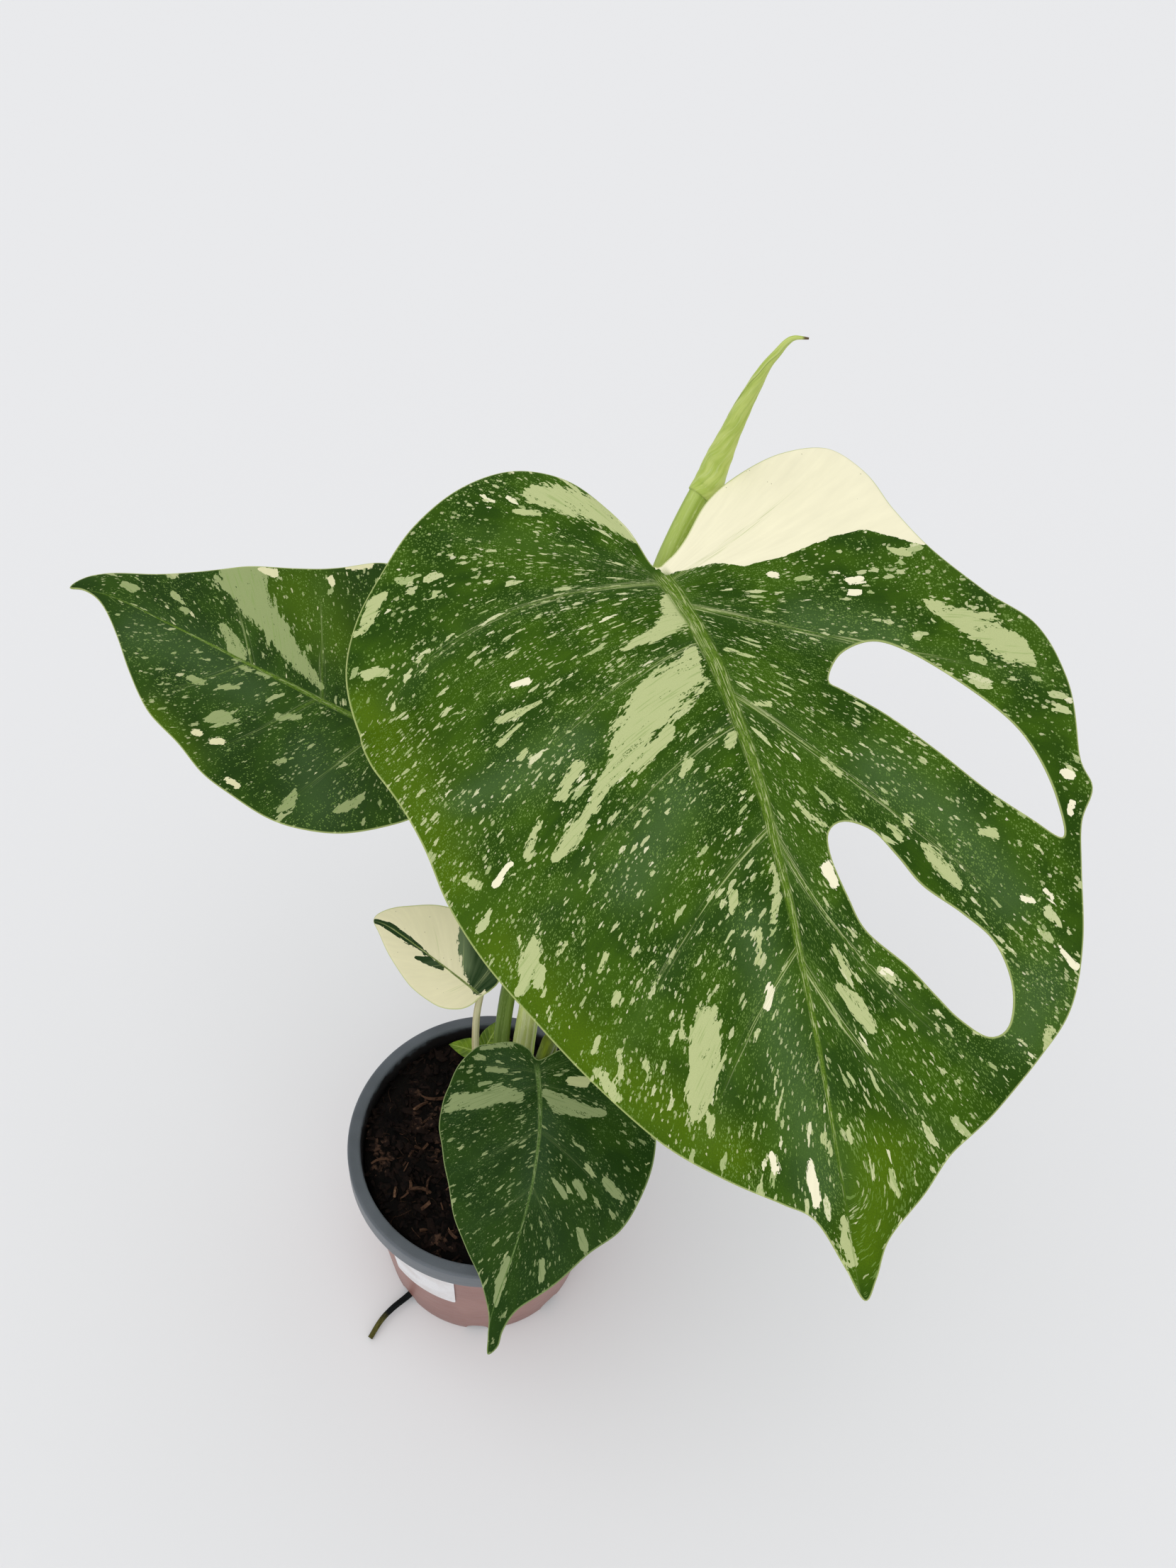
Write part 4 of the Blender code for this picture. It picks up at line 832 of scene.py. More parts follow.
def bladeFrame(leaf):
    # the bent midrib and its cross directions, as in the solids
    length = leaf["length"]
    u = np.arange(-0.5 * length, 1.1 * length, 0.5)
    t = u / length
    pitch = np.radians(leaf["slope"] + leaf["droop"] * t)
    turn = leaf["sweep"] * (1 - (1 - np.clip(t, 0, 1)) ** leaf["ease"])
    turn = np.radians(turn + leaf["tipTurn"] * np.clip((t - 0.75) / 0.25, 0, 1.2) ** 2)
    tangent = np.stack([np.cos(pitch) * np.cos(turn), np.cos(pitch) * np.sin(turn), -np.sin(pitch)], 1)
    across = np.stack([-np.sin(turn), np.cos(turn), 0 * turn], 1)
    rib = np.zeros_like(tangent)
    rib[1:] = np.cumsum((tangent[1:] + tangent[:-1]) / 4, axis=0)
    rib -= rib[np.argmin(abs(u))]
    heading = Matrix.Rotation(math.radians(leaf["heading"]), 3, "Z")
    place = np.array(heading @ Matrix.Rotation(math.radians(leaf["roll"]), 3, "X")).T
    return u, rib @ place + np.array(leaf["junction"]), across @ place, np.cross(tangent, across) @ place


def onSurface(leaf, spots, lift, veinGap):
    u, v = spots[:, 0], spots[:, 1]
    table, rib, across, up = bladeFrame(leaf)
    read = lambda rows: np.stack([np.interp(u, table, rows[:, k]) for k in range(3)], 1)
    fold = math.tan(math.radians(leaf["fold"])) * abs(v)
    curl = leaf["curl"] * v * v / 2000
    edge = np.minimum(1, abs(v) / leaf["halfWidth"]) ** 2
    side = np.where(v > 0, 1.0, 0.35)
    wave = leaf["wave"] * edge * np.sin(2 * np.pi * (u / leaf["waveLength"] + side))
    valley = leaf["valley"] * (np.exp(-(veinGap / 5) ** 2) + np.exp(-(v / 2.4) ** 2))
    height = fold - curl + wave - valley + lift
    return read(rib) + v[:, None] * read(across) + height[:, None] * read(up)


# half thicknesses, the rolled margin, the raised midrib and veins, and the keel under them
blade = {"edgeHalf": 0.09, "innerGain": 0.17, "thinReach": 0.6, "rollDepth": 0.28, "rollReach": 0.9,
         "ribRise": 0.35, "veinRise": 0.10, "veinReach": 0.6, "keelReach": 2.4, "keelStart": 6,
         "keelDepth": 1.615, "veinDepth": 0.34, "veinWidth": 0.8}


def makeLeaf(leaf, material):
    spots, faces, loops = bladeLayout(leaf)
    count = len(spots)
    u, v = spots.T
    length = leaf["length"]
    veinGap = np.full(count, 50.0)
    veinShow = np.zeros(count)
    for number, vein in enumerate(leaf["veins"]):
        strength = leaf["faint"].get(number, 1.0)
        gap, where = gapToChain(spots, veinChain(vein))
        closer = gap < veinGap
        veinGap = np.where(closer, gap, veinGap)
        veinShow = np.where(closer, strength * np.clip(1.05 - where / 24, 0, 1), veinShow)
    edgeGap = np.min([gapToChain(spots, loop, True)[0] for loop, _ in loops], axis=0)
    ribWidth = np.maximum(ribHalfWidth(leaf, u, leaf["ribWidth"]), 0.25)
    ribShow = np.clip((u + 2) / 4, 0, 1) * np.clip((1.02 - u / length) / 0.25, 0, 1)
    share = np.clip(u / length, 0, 1)
    thin = np.clip(edgeGap / blade["thinReach"], 0, 1)
    half = blade["edgeHalf"] + blade["innerGain"] * thin
    rolled = -blade["rollDepth"] * np.exp(-edgeGap / blade["rollReach"])
    fade = np.clip(1.1 - u / length, 0, 1)
    relief = blade["ribRise"] * leaf["ribScale"] * np.exp(-(v / ribWidth) ** 2) * fade
    relief += blade["veinRise"] * veinShow * np.exp(-(veinGap / blade["veinReach"]) ** 2)
    reach = blade["keelReach"] * leaf["ribScale"] * (1 - 0.6 * share)
    keel = np.clip((u - leaf["petioleClear"]) / blade["keelStart"], 0, 1) * (1 - 0.75 * share)
    keel = blade["keelDepth"] * leaf["ribScale"] * keel * np.sqrt(np.clip(1 - (v / reach) ** 2, 0, 1))
    veinKeel = veinShow * np.exp(-(veinGap / blade["veinWidth"]) ** 2)
    keel += blade["veinDepth"] * leaf["ribScale"] * veinKeel * thin
    top = onSurface(leaf, spots, half + rolled + relief, veinGap)
    under = onSurface(leaf, spots, -half + rolled - keel, veinGap)

    ways = np.concatenate([faces[:, [0, 1]], faces[:, [1, 2]], faces[:, [2, 0]]])
    keys = set(map(tuple, ways.tolist()))
    rim = [(a, b) for a, b in keys if (b, a) not in keys]
    rim.sort()
    walls = [(b, a, a + count, b + count) for a, b in rim]
    mesh = bpy.data.meshes.new(leaf["node"] + "_blade")
    allFaces = faces.tolist() + (faces[:, ::-1] + count).tolist() + walls
    mesh.from_pydata((np.concatenate([top, under]) * mm).tolist(), [], allFaces)
    mesh.shade_smooth()

    fields = {"veinGap": veinGap, "veinShow": veinShow, "edgeGap": edgeGap, "ribGap": abs(v) / ribWidth,
              "ribShow": ribShow, "glow": softField(spots, leaf["glow"]),
              "sheen": softField(spots, leaf["sheen"]),
              "sageField": strokeField(spots, leaf["sage"]), "creamField": strokeField(spots, leaf["cream"]),
              "greenField": strokeField(spots, leaf["green"])}
    if leaf["creamLobe"]:
        lobe = np.array(leaf["creamLobe"], float)
        within = np.interp(v, lobe[:, 1], lobe[:, 0]) - u
        within = np.where(v > 0.5, np.clip(within / 0.55, -4, 4), -4)
        fields["creamField"] = np.maximum(fields["creamField"], within)
    storeValues(mesh, {name: np.tile(values, 2) for name, values in fields.items()})
    storeValues(mesh, {"under": np.repeat([0, 1], count)})

    # the flat measures and the fibres, corner by corner, because the fibres jump at the midrib
    corners = np.zeros(len(mesh.loops), int)
    mesh.loops.foreach_get("vertex_index", corners)
    totals = np.zeros(len(mesh.polygons), int)
    mesh.polygons.foreach_get("loop_total", totals)
    owner = np.repeat(np.arange(len(totals)), totals)
    corners = corners % count
    middle = np.zeros(len(totals))
    np.add.at(middle, owner, v[corners])
    onLeft = middle[owner] > 0
    fibre = np.zeros((len(corners), 2))
    for side, chosen in ((1, onLeft), (-1, ~onLeft)):
        needed = np.unique(corners[chosen])
        table = np.zeros((count, 2))
        table[needed] = fibreField(leaf, spots[needed], side)
        fibre[chosen] = table[corners[chosen]]
    for name, values in (("plane", spots[corners] / 10), ("fibre", fibre)):
        layer = mesh.uv_layers.new(name=name)
        layer.uv.foreach_set("vector", values.astype(np.float32).ravel())
    finishPiece(newObject(mesh.name, mesh, material), leaf["node"])


def leafMaterial(group, leaf):
    material, shader = newMaterial(leaf["node"] + "Skin", 0.07)
    own = {name: displayColour(*colour) for name, colour in {**leafLook, **leaf["colours"]}.items()}
    skin = useGroup(group, seed=leaf["seed"], fleckShare=leaf["fleckShare"], tear=leaf["tear"],
                    veinTone=leaf["veinTone"], **own)
    finishSkin(shader, skin["colour"], skin["roughness"], skin["height"], 0.35, 0.0008)
    return material


makeCamera()
makeStage()
print("camera, floor and light")
leafGroup = makeLeafGroup(makeFleckGroup(), makePatchGroup())
for leaf in (largeLeaf, leftLeaf, frontLeaf, smallLeaf):
    makeLeaf(leaf, leafMaterial(leafGroup, leaf))


# Helpers for Geometry Nodes
def growTree(name, takes):
    return newGroup(name, "GeometryNodeTree", {"Geometry": "geometry", **takes}, {"Geometry": "geometry"})


def storeField(geometry, name, value, kind="FLOAT"):
    sources = {"Name": name, "Geometry": geometry, "Value": value}
    return wire("GeometryNodeStoreNamedAttribute", sources, data_type=kind).outputs[0]


def namedField(name):
    return wire("GeometryNodeInputNamedAttribute", {"Name": name}).outputs[0]


def finishTree(geometry, material, result):
    # loose copies become real, then get their material
    real = wire("GeometryNodeRealizeInstances", {"Geometry": geometry}).outputs[0]
    feed(dressed(real, material), result)


def dressed(geometry, material):
    return wire("GeometryNodeSetMaterial", {"Geometry": geometry, "Material": material}).outputs[0]


def turned(x, y, z):
    return wire("FunctionNodeEulerToRotation", {0: joined(x, y, z)}).outputs[0]


def grown(name, mesh, tree, values):
    # runs a node tree on a mesh and keeps the plain result
    sprout = newObject("seed_" + name, mesh)
    modifier = sprout.modifiers.new("grow", "NODES")
    modifier.node_group = tree
    for item in tree.interface.items_tree:
        if item.in_out == "INPUT" and item.name in values:
            modifier[item.identifier] = values[item.name]
    result = plainMesh(sprout)
    bpy.data.objects.remove(sprout, do_unlink=True)
    result.name = name
    return newObject(name, result)


# Stem, petioles, shoot stalk and root: each grows along its path
stalks = {
    "stem": {"path": [(9, 14, 66), (9, 14, 84), (9, 14.5, 100), (9, 15, 118)], "girth": (6.6, 6.6, 0),
             "swell": 1.6, "rings": 0.5, "sides": 40, "channel": 0, "slot": "stem_skin"},
    "petiole_large": {"path": [(9, 15, 108), (9.5, 16, 130), (10.5, 20, 165), (15, 30, 225), (22.5, 43, 287),
                               (30.5, 54, 328)],
                      "leaf": largeLeaf, "bend": 12, "girth": (4.1, 3.3, 1.2), "sides": 32, "channel": 0.22,
                      "slot": "petiole_skin"},
    "petiole_left": {"path": [(6, 15, 100), (1.8, 16, 122), (0.9, 20, 148), (1.6, 25, 168), (2.6, 28.5, 186),
                              (0, 34, 212), (-11.5, 42, 243), (-26.5, 48.5, 264)],
                     "leaf": leftLeaf, "bend": 9, "girth": (3.4, 2.7, 1.0), "sides": 32, "channel": 0.22,
                     "slot": "petiole_skin"},
    "petiole_front": {"path": [(13, 13, 98), (17.5, 13, 122), (20.3, 13.3, 145), (21, 12.2, 160.5),
                               (20.4, 8.2, 167.5)],
                      "leaf": frontLeaf, "bend": 3, "girth": (4.2, 2.5, 0.3), "sides": 32, "channel": 0.22,
                      "slot": "petiole_skin"},
    "petiole_small": {"path": [(5, 14, 99.5), (-2.5, 14.6, 103), (-7.2, 16.3, 114), (-9.6, 19, 136),
                               (-10, 21.5, 158)],
                      "leaf": smallLeaf, "bend": 3, "girth": (1.75, 1.35, 0.8), "sides": 24, "channel": 0,
                      "slot": "cream_petiole_skin"},
    "petiole_new": {"path": [(10.5, 18, 106), (11, 24.5, 130), (12.5, 28.5, 165), (17, 38.5, 225),
                             (25.5, 51.5, 290), (33, 64, 327), (38.5, 76, 347), (42.5, 83.8, 357.5),
                             (46.7, 89.9, 367.2), (48.6, 91.9, 370.6)],
                    "girth": (3.0, 3.6, 0.6), "sides": 32, "channel": 0, "slot": "petiole_skin"},
    "basal_shoot": {"path": [(-8, 38, 84), (-8, 38.5, 93), (-9, 40, 101)], "girth": (1.7, 1.4, 0),
                    "sides": 20, "channel": 0, "slot": "shoot_green"},
    "drain_root": {"path": [(-24, -29, 6), (-31, -36.5, 3.8), (-36.5, -42.5, 4.2), (-41, -48.5, 3.2),
                            (-44.5, -56, 1.25)],
                   "girth": (1.6, 1.15, 0), "sides": 20, "channel": 0, "slot": "root_skin"},
}


def makeStalkTree():
    takes = {"Sides": 32, "Channel": 0.2, "Channel side": (0.0, -1.0, 0.0), "Unevenness": 0.03,
             "Skin": "material"}
    tree, given, result = growTree("channelled stalk", takes)
    line = wire("GeometryNodeMeshToCurve", {"Mesh": given["Geometry"]}).outputs[0]
    spline = put("GeometryNodeSplineParameter").outputs
    line = storeField(line, "alongStalk", times(spline["Length"], 100.0))
    line = storeField(line, "shareStalk", spline["Factor"])
    circle = wire("GeometryNodeCurvePrimitiveCircle",
                  {"Resolution": given["Sides"], "Radius": 1.0}).outputs[0]
    girth = namedField("girth")
    skin = wire("GeometryNodeCurveToMesh", {"Curve": line, "Profile Curve": circle, "Scale": girth,
                                            "Fill Caps": True})
    normal = put("GeometryNodeInputNormal").outputs[0]

    def towards(direction):
        return wire("ShaderNodeVectorMath", {0: normal, 1: direction},
                    operation="DOT_PRODUCT").outputs["Value"]

    face = towards(given["Channel side"])
    mesh = storeField(skin.outputs[0], "roundStalk", joined(towards((1.0, 0.0, 0.0)), face, 0.0),
                      "FLOAT_VECTOR")
    dip = times(calc("POWER", calc("MAXIMUM", face, 0.0), 6.0), given["Channel"])
    uneven = minus(grain(put("GeometryNodeInputPosition").outputs[0], 130.0), 0.5)
    lift = times(minus(times(uneven, times(given["Unevenness"], 2.0)), dip), girth)
    offset = wire("ShaderNodeVectorMath", {0: normal, "Scale": lift}, operation="SCALE").outputs[0]
    move = wire("GeometryNodeSetPosition", {"Geometry": mesh, "Offset": offset})
    smooth = wire("GeometryNodeSetShadeSmooth", {"Geometry": move.outputs[0]})
    finishTree(smooth.outputs[0], given["Skin"], result["Geometry"])
    return tree


def stalkRoute(stalk):
    # a petiole ends square to its blade, just inside the lower face
    path = [Vector(p) for p in stalk["path"]]
    if "leaf" not in stalk:
        return smoothPath(path, 1.5)
    leaf = stalk["leaf"]
    top = stalk["girth"][1]
    arch = top * max(0.0, -math.tan(math.radians(leaf["fold"])))
    seat = np.array([[0.0, 0.0]])
    end = Vector(onSurface(leaf, seat, -0.45 - arch, np.array([3.0]))[0])
    table, _, _, up = bladeFrame(leaf)
    up = Vector([np.interp(0, table, up[:, k]) for k in range(3)])
    return smoothPath(path + [end - up * stalk["bend"], end - up * 0.6 * top, end], 1.5, fewest=3)


def stalkGirth(stalk, share):
    base, top, flare = stalk["girth"]
    girth = base + (top - base) * share + flare * np.exp(-(share / 0.12) ** 2)
    if "leaf" in stalk:
        girth = girth + 0.12 * top * np.exp(-((1 - share) / 0.06) ** 2)
    girth = girth + stalk.get("swell", 0) * np.sin(math.pi * share)
    return girth + stalk.get("rings", 0) * np.sin(9 * math.pi * share)


def makeStalk(name, stalk, tree, material):
    route = stalkRoute(stalk)
    mesh = bpy.data.meshes.new("line_" + name)
    mesh.from_pydata([p * mm for p in route], [(k, k + 1) for k in range(len(route) - 1)], [])
    girth = stalkGirth(stalk, np.linspace(0, 1, len(route))) * mm
    storeValues(mesh, {"girth": girth})
    values = {"Sides": stalk["sides"], "Channel": float(stalk["channel"]), "Skin": material}
    finishPiece(grown(name + "_grown", mesh, tree, values), name)


stalkLook = {
    "stem": {"base": (92, 108, 52), "pale": (150, 158, 96), "dark": (62, 72, 32),
             "stripes": 0.3, "seed": 1.0},
    "petiole_large": {"base": (196, 206, 126), "pale": (216, 221, 172), "dark": (174, 186, 100),
                      "stripes": 0.5, "seed": 2.0},
    "petiole_left": {"base": (104, 130, 44), "pale": (136, 158, 84), "dark": (86, 112, 26),
                     "stripes": 0.3, "seed": 5.0},
    "petiole_front": {"base": (98, 114, 8), "pale": (118, 136, 26), "dark": (82, 98, 6),
                      "stripes": 0.2, "seed": 9.0},
    "petiole_small": {"base": (208, 204, 158), "pale": (234, 228, 192), "dark": (186, 176, 128),
                      "stripes": 0.4, "seed": 4.0},
    "petiole_new": {"base": (176, 196, 96), "pale": (198, 212, 134), "dark": (152, 176, 68),
                    "stripes": 0.35, "seed": 7.0},
    "basal_shoot": {"base": (112, 140, 34), "pale": (150, 174, 74), "dark": (80, 106, 20),
                    "stripes": 0.4, "seed": 3.0},
}


def makeStalkGroup():
    # long soft stripes that run up a stalk, short pale dashes and fine ribs
    takes = {"base": "colour", "pale": "colour", "dark": "colour", "stripes": 0.4, "seed": 0.0}
    tree, given, result = newGroup("striped stalk", "ShaderNodeTree", takes, skinFields)
    side, face, _ = apart(readVector("roundStalk"))
    along = readField("alongStalk")
    shift = times(given["seed"], 3.7)

    def round3(lengthwise, crosswise):
        height = scaled(along, lengthwise, shift)
        return joined(times(side, crosswise), times(face, crosswise), height)

    broad = grain(round3(0.12, 1.1), 1.0, 1.0)
    narrow = grain(round3(0.5, 5.0), 1.0, 2.0, 0.6)
    ribs = grain(round3(0.35, 15.0), 1.0, 2.0, 0.5)
    dashes = grain(round3(3.2, 11.0), 1.0, 1.0)
    colour = mixColour(ramp(broad, 0.42, 0.6), given["dark"], given["base"])
    stripe = times(ramp(narrow, 0.48, 0.62), given["stripes"])
    colour = mixColour(stripe, colour, given["pale"])
    colour = mixColour(ramp(dashes, 0.66, 0.72, 0.0, 0.7), colour, given["pale"])
    colour = mixColour(ramp(ribs, 0.46, 0.3, 0.0, 0.12), colour, given["dark"])
    feed(colour, result["colour"])
    feed(scaled(narrow, 0.25, 0.32), result["roughness"])
    feed(scaled(ribs, 0.6, times(narrow, 0.4)), result["height"])
    return tree


def stalkMaterial(group, name, look):
    material, shader = newMaterial(name + "Skin", 0.3)
    values = {key: displayColour(*look[key]) for key in ("base", "pale", "dark")}
    skin = useGroup(group, stripes=look["stripes"], seed=look["seed"], **values)
    finishSkin(shader, skin["colour"], skin["roughness"], skin["height"], 0.3, 0.0004)
    return material


rootLook = {"oldDark": (5, 10, 11), "oldLight": (20, 26, 25), "youngDark": (62, 60, 14),
            "youngLight": (90, 86, 36)}


def rootMaterial():
    # near black where it leaves the pot, olive at its growing tip
    look = rootLook
    material, shader = newMaterial("drainRootSkin", 0.12)
    side, face, _ = apart(readVector("roundStalk"))
    place = [times(part, 4.0) for part in (side, face, readField("alongStalk"))]
    bark = grain(joined(*place), 1.0, 3.0, 0.65)
    young = ramp(plus(readField("shareStalk"), times(minus(bark, 0.5), 0.3)), 0.6, 0.8)
    old = mixColour(ramp(bark, 0.4, 0.7), look["oldDark"], look["oldLight"])
    fresh = mixColour(ramp(bark, 0.35, 0.65), look["youngDark"], look["youngLight"])
    finishSkin(shader, mixColour(young, old, fresh), ramp(young, 0.0, 1.0, 0.62, 0.42), bark, 0.5, 0.0004)
    return material


stalkTree = makeStalkTree()
stalkGroup = makeStalkGroup()
for name, stalk in stalks.items():
    skin = rootMaterial() if name == "drain_root" else stalkMaterial(stalkGroup, name, stalkLook[name])
    makeStalk(name, stalk, stalkTree, skin)


# The rolled new leaf: one thin sheet wound round itself, whose outer margin climbs it as a lip
newLeaf = {
    "seat": [(46.9, 90.2, 367.6), (48.2, 91.6, 369.4)],
    "path": [(49.5, 92.7, 372), (50.8, 94, 378), (54, 94.4, 391.3), (57.3, 94.5, 402.4), (59.9, 94.3, 410.5),
             (62.4, 94.5, 415), (64.3, 95, 418), (66.5, 95.3, 419.7), (70.5, 95.6, 419.9)],
    "girth": [(0, 4.05), (0.04, 4.4), (0.12, 4.7), (0.22, 4.1), (0.42, 3.1), (0.62, 2.2), (0.78, 1.4),
              (0.9, 0.95), (1, 0.3)],
    "turns": 0.9, "wander": 0.02, "sides": 56, "lip": 0.02, "sheet": 0.32, "step": 0.5,
    "windStart": 0.92, "windGain": 0.14, "lipTop": 1.065, "lipFoot": 1.06, "tuck": 0.925,
}
# fold is a darker green painted where the outer margin tucks over the roll: painted shade in the crease
newLeafLook = {"dark": (172, 192, 86), "light": (194, 208, 112), "pale": (206, 218, 146),
               "stripe": (122, 152, 46), "fleck": (210, 220, 160), "margin": (196, 210, 130),
               "fold": (86, 112, 26), "dryTip": (92, 74, 48)}


def makeNewLeaf(material):
    leaf = newLeaf
    path = smoothPath(leaf["seat"] + leaf["path"], leaf["step"])
    last = len(path) - 1
    shares, girths = zip(*leaf["girth"])
    sides = leaf["sides"]
    verts, faces, winds, lengths, parts = [], [], [], [], []
    side = Vector((1, 0, 0))
    travelled = 0.0
    for i, point in enumerate(path):
        t = i / last
        ahead = (path[min(i + 1, last)] - path[max(i - 1, 0)]).normalized()
        side = (side - ahead * side.dot(ahead)).normalized()
        up = ahead.cross(side)
        travelled += (point - path[i - 1]).length if i else 0
        girth = float(np.interp(t, shares, girths))
        girth *= 1 + 0.02 * math.sin(31 * t) + 0.012 * math.sin(77 * t + 1)
        start = leaf["turns"] * t + leaf["wander"] * (math.sin(19 * t) + 0.5 * math.sin(47 * t))
        ring = [(k / sides, girth * (leaf["windStart"] + leaf["windGain"] * k / sides))
                for k in range(sides + 1)]
        lip = 1 + leaf["lip"] * (1 + 0.6 * math.sin(23 * t))
        sheet = min(leaf["sheet"], 0.25 * girth)
        ring += [(lip, girth * leaf["lipTop"]), (lip + 0.004, girth * leaf["lipTop"] - 0.5 * sheet),
                 (lip, girth * leaf["lipFoot"] - sheet), (1.001, girth * leaf["tuck"])]
        for wind, reach in ring:
            angle = 2 * math.pi * (wind + start)
            verts.append(point + side * (reach * math.cos(angle)) + up * (reach * math.sin(angle)))
            winds.append(min(wind, 1.0))
            lengths.append(travelled / 10)
            parts.append(t)
    row = sides + 5
    for i in range(last):
        for k in range(row):
            n = (k + 1) % row
            faces.append((i * row + k, i * row + n, (i + 1) * row + n, (i + 1) * row + k))
    faces.append(tuple(reversed(range(row))))
    faces.append(tuple(range(last * row, (last + 1) * row)))
    mesh = bpy.data.meshes.new("new_leaf_roll")
    mesh.from_pydata([p * mm for p in verts], [], faces)
    mesh.shade_smooth()
    storeValues(mesh, {"wind": winds, "alongRoll": lengths, "shareRoll": parts})
    finishPiece(newObject("new_leaf_roll", mesh, material), "new_leaf_spike")


def newLeafMaterial():
    look = newLeafLook
    material, shader = newMaterial("newLeafSkin", 0.25)
    wind, along, share = readField("wind"), readField("alongRoll"), readField("shareRoll")
    angle = times(wind, 2 * math.pi)
    place = joined(calc("COSINE", angle), calc("SINE", angle), times(along, 0.7))
    broad = grain(stretch(place, (1.4, 1.4, 1.4)), 1.0)
    streak = grain(stretch(place, (5.0, 5.0, 1.2)), 1.0, 3.0, 0.6)
    fleck = grain(stretch(place, (13.0, 13.0, 6.0)), 1.0)
    dry = ramp(scaled(minus(streak, 0.5), 0.02, share), 0.965, 0.985)
    colour = mixColour(ramp(broad, 0.36, 0.62), look["dark"], look["light"])
    # the fold mask lays painted shade along the crease under the lip
    for mask, shade in ((ramp(streak, 0.52, 0.7, 0.0, 0.5), "pale"),
                        (ramp(streak, 0.44, 0.3, 0.0, 0.35), "stripe"),
                        (ramp(fleck, 0.66, 0.74, 0.0, 0.7), "fleck"),
                        (ramp(wind, 0.965, 0.99, 0.0, 0.7), "margin"),
                        (ramp(wind, 0.05, 0.0, 0.0, 0.4), "fold"), (dry, "dryTip")):
        colour = mixColour(mask, colour, look[shade])
    finishSkin(shader, colour, scaled(streak, 0.2, 0.34), streak, 0.3, 0.0004)
    return material


makeNewLeaf(newLeafMaterial())


# Two seedling leaflets on the basal shoot
leaflets = {
    "leaflet_back": {"base": (-9, 39.5, 99.5), "tip": (-3, 47, 117), "halfWidth": 4.6},
    "leaflet_side": {"base": (-8.6, 39.5, 98.5), "tip": (-24, 41, 103), "halfWidth": 5.4},
}
leafletShape = {"rows": 26, "columns": 12, "cup": 0.25, "droop": 2.5, "thick": 0.45, "ripple": 0.12,
                "rib": 0.15, "ribReach": 0.12, "point": 0.86}
leafletLook = {"dark": (78, 106, 10), "light": (108, 136, 22), "vein": (150, 172, 70), "rib": (164, 184, 90),
               "grain": (66, 92, 10)}


def makeLeaflets(material):
    shape = leafletShape
    rows, columns = shape["rows"], shape["columns"]
    verts, faces, across, along = [], [], [], []
    for leaflet in leaflets.values():
        base, tip = Vector(leaflet["base"]), Vector(leaflet["tip"])
        ahead = tip - base
        side = ahead.cross(Vector((0, 0, 1))).normalized()
        up = side.cross(ahead).normalized()
        first = len(verts)
        for face in (1, -1):
            for i in range(rows + 1):
                t = i / rows
                width = leaflet["halfWidth"] * (0.16 + 0.84 * math.sin(math.pi * t ** 0.75) ** 0.8)
                width *= 1 - 0.55 * t ** 4
                width *= 1 - shape["point"] * max(0.0, (t - 0.9) / 0.1) ** 2  # closes to a soft point
                for k in range(columns + 1):
                    j = 2 * k / columns - 1
                    thick = shape["thick"] * (0.3 + 0.7 * (1 - abs(j) ** 4))
                    fold = shape["cup"] * width * (abs(j) ** 1.5)
                    ripple = shape["ripple"] * math.sin(9 * t + 5 * abs(j)) * abs(j)
                    rib = shape["rib"] * math.exp(-(j / shape["ribReach"]) ** 2) * (1 - t)
                    lift = fold + ripple - shape["droop"] * t * t + face * thick / 2 - rib
                    verts.append(base + ahead * t + side * (j * width) + up * lift)
                    across.append(j)
                    along.append(t)
        faces += sheetFaces(rows, columns, first)
    mesh = bpy.data.meshes.new("shoot_leaflets")
    mesh.from_pydata([p * mm for p in verts], [], faces)
    facesOut(mesh)
    mesh.shade_smooth()
    storeValues(mesh, {"acrossLeaflet": across, "alongLeaflet": along})
    finishPiece(newObject("shoot_leaflets", mesh, material), "basal_shoot")


def leafletMaterial():
    look = leafletLook
    material, shader = newMaterial("leafletSkin", 0.25)
    distance = calc("ABSOLUTE", readField("acrossLeaflet"))
    slant = minus(readField("alongLeaflet"), times(distance, 0.22))
    ribs = calc("SINE", times(slant, 46.0))
    place = objectPlace()
    soft = grain(place, 160.0)
    colour = mixColour(ramp(soft, 0.4, 0.62), look["dark"], look["light"])
    for mask, shade in ((ramp(ribs, 0.7, 1.0, 0.0, 0.35), "vein"),
                        (ramp(distance, 0.1, 0.03, 0.0, 0.7), "rib"),
                        (ramp(grain(place, 900.0), 0.6, 0.7, 0.0, 0.4), "grain")):
        colour = mixColour(mask, colour, look[shade])
    finishSkin(shader, colour, scaled(soft, 0.2, 0.3), ribs, 0.25, 0.0003)
    return material


makeLeaflets(leafletMaterial())


# The pot: a turned wall with a rolled collar and drainage notches round its foot
pot = {
    "height": 100, "rimRadius": 60, "baseRadius": 46, "wall": 1.4, "floor": 2, "lipWidth": 5.4, "collar": 10,
    "rimThick": 1.6, "skirtThick": 1.5, "rounding": 1.2, "sides": 192, "notches": 8, "notchRadius": 5,
    "notchPhase": 4, "notchLength": 16, "notchInset": 2, "notchRise": 1,
}
potLook = {"rose": (146, 101, 92), "roseLight": (155, 110, 100), "roseFoot": (134, 94, 86),
           "roseRubbed": (172, 136, 128), "slate": (80, 86, 91), "slateLight": (92, 98, 104),
           "slateEdgeHighlight": (120, 128, 134), "slateRubbed": (118, 124, 128), "innerShadeAndSoil": (20, 14, 11),
           "speck": (60, 52, 50)}


def outerWall(height):
    lean = (pot["rimRadius"] - pot["lipWidth"] + pot["wall"] - pot["baseRadius"]) / pot["height"]
    return pot["baseRadius"] + lean * height


def cornerArc(x, y, radius, start, end, tone, pieces=5):
    # (radius, height, tone) rows round a corner of the profile
    turns = [math.radians(start + (end - start) * k / pieces) for k in range(pieces + 1)]
    return [(x + radius * math.cos(a), y + radius * math.sin(a), tone) for a in turns]


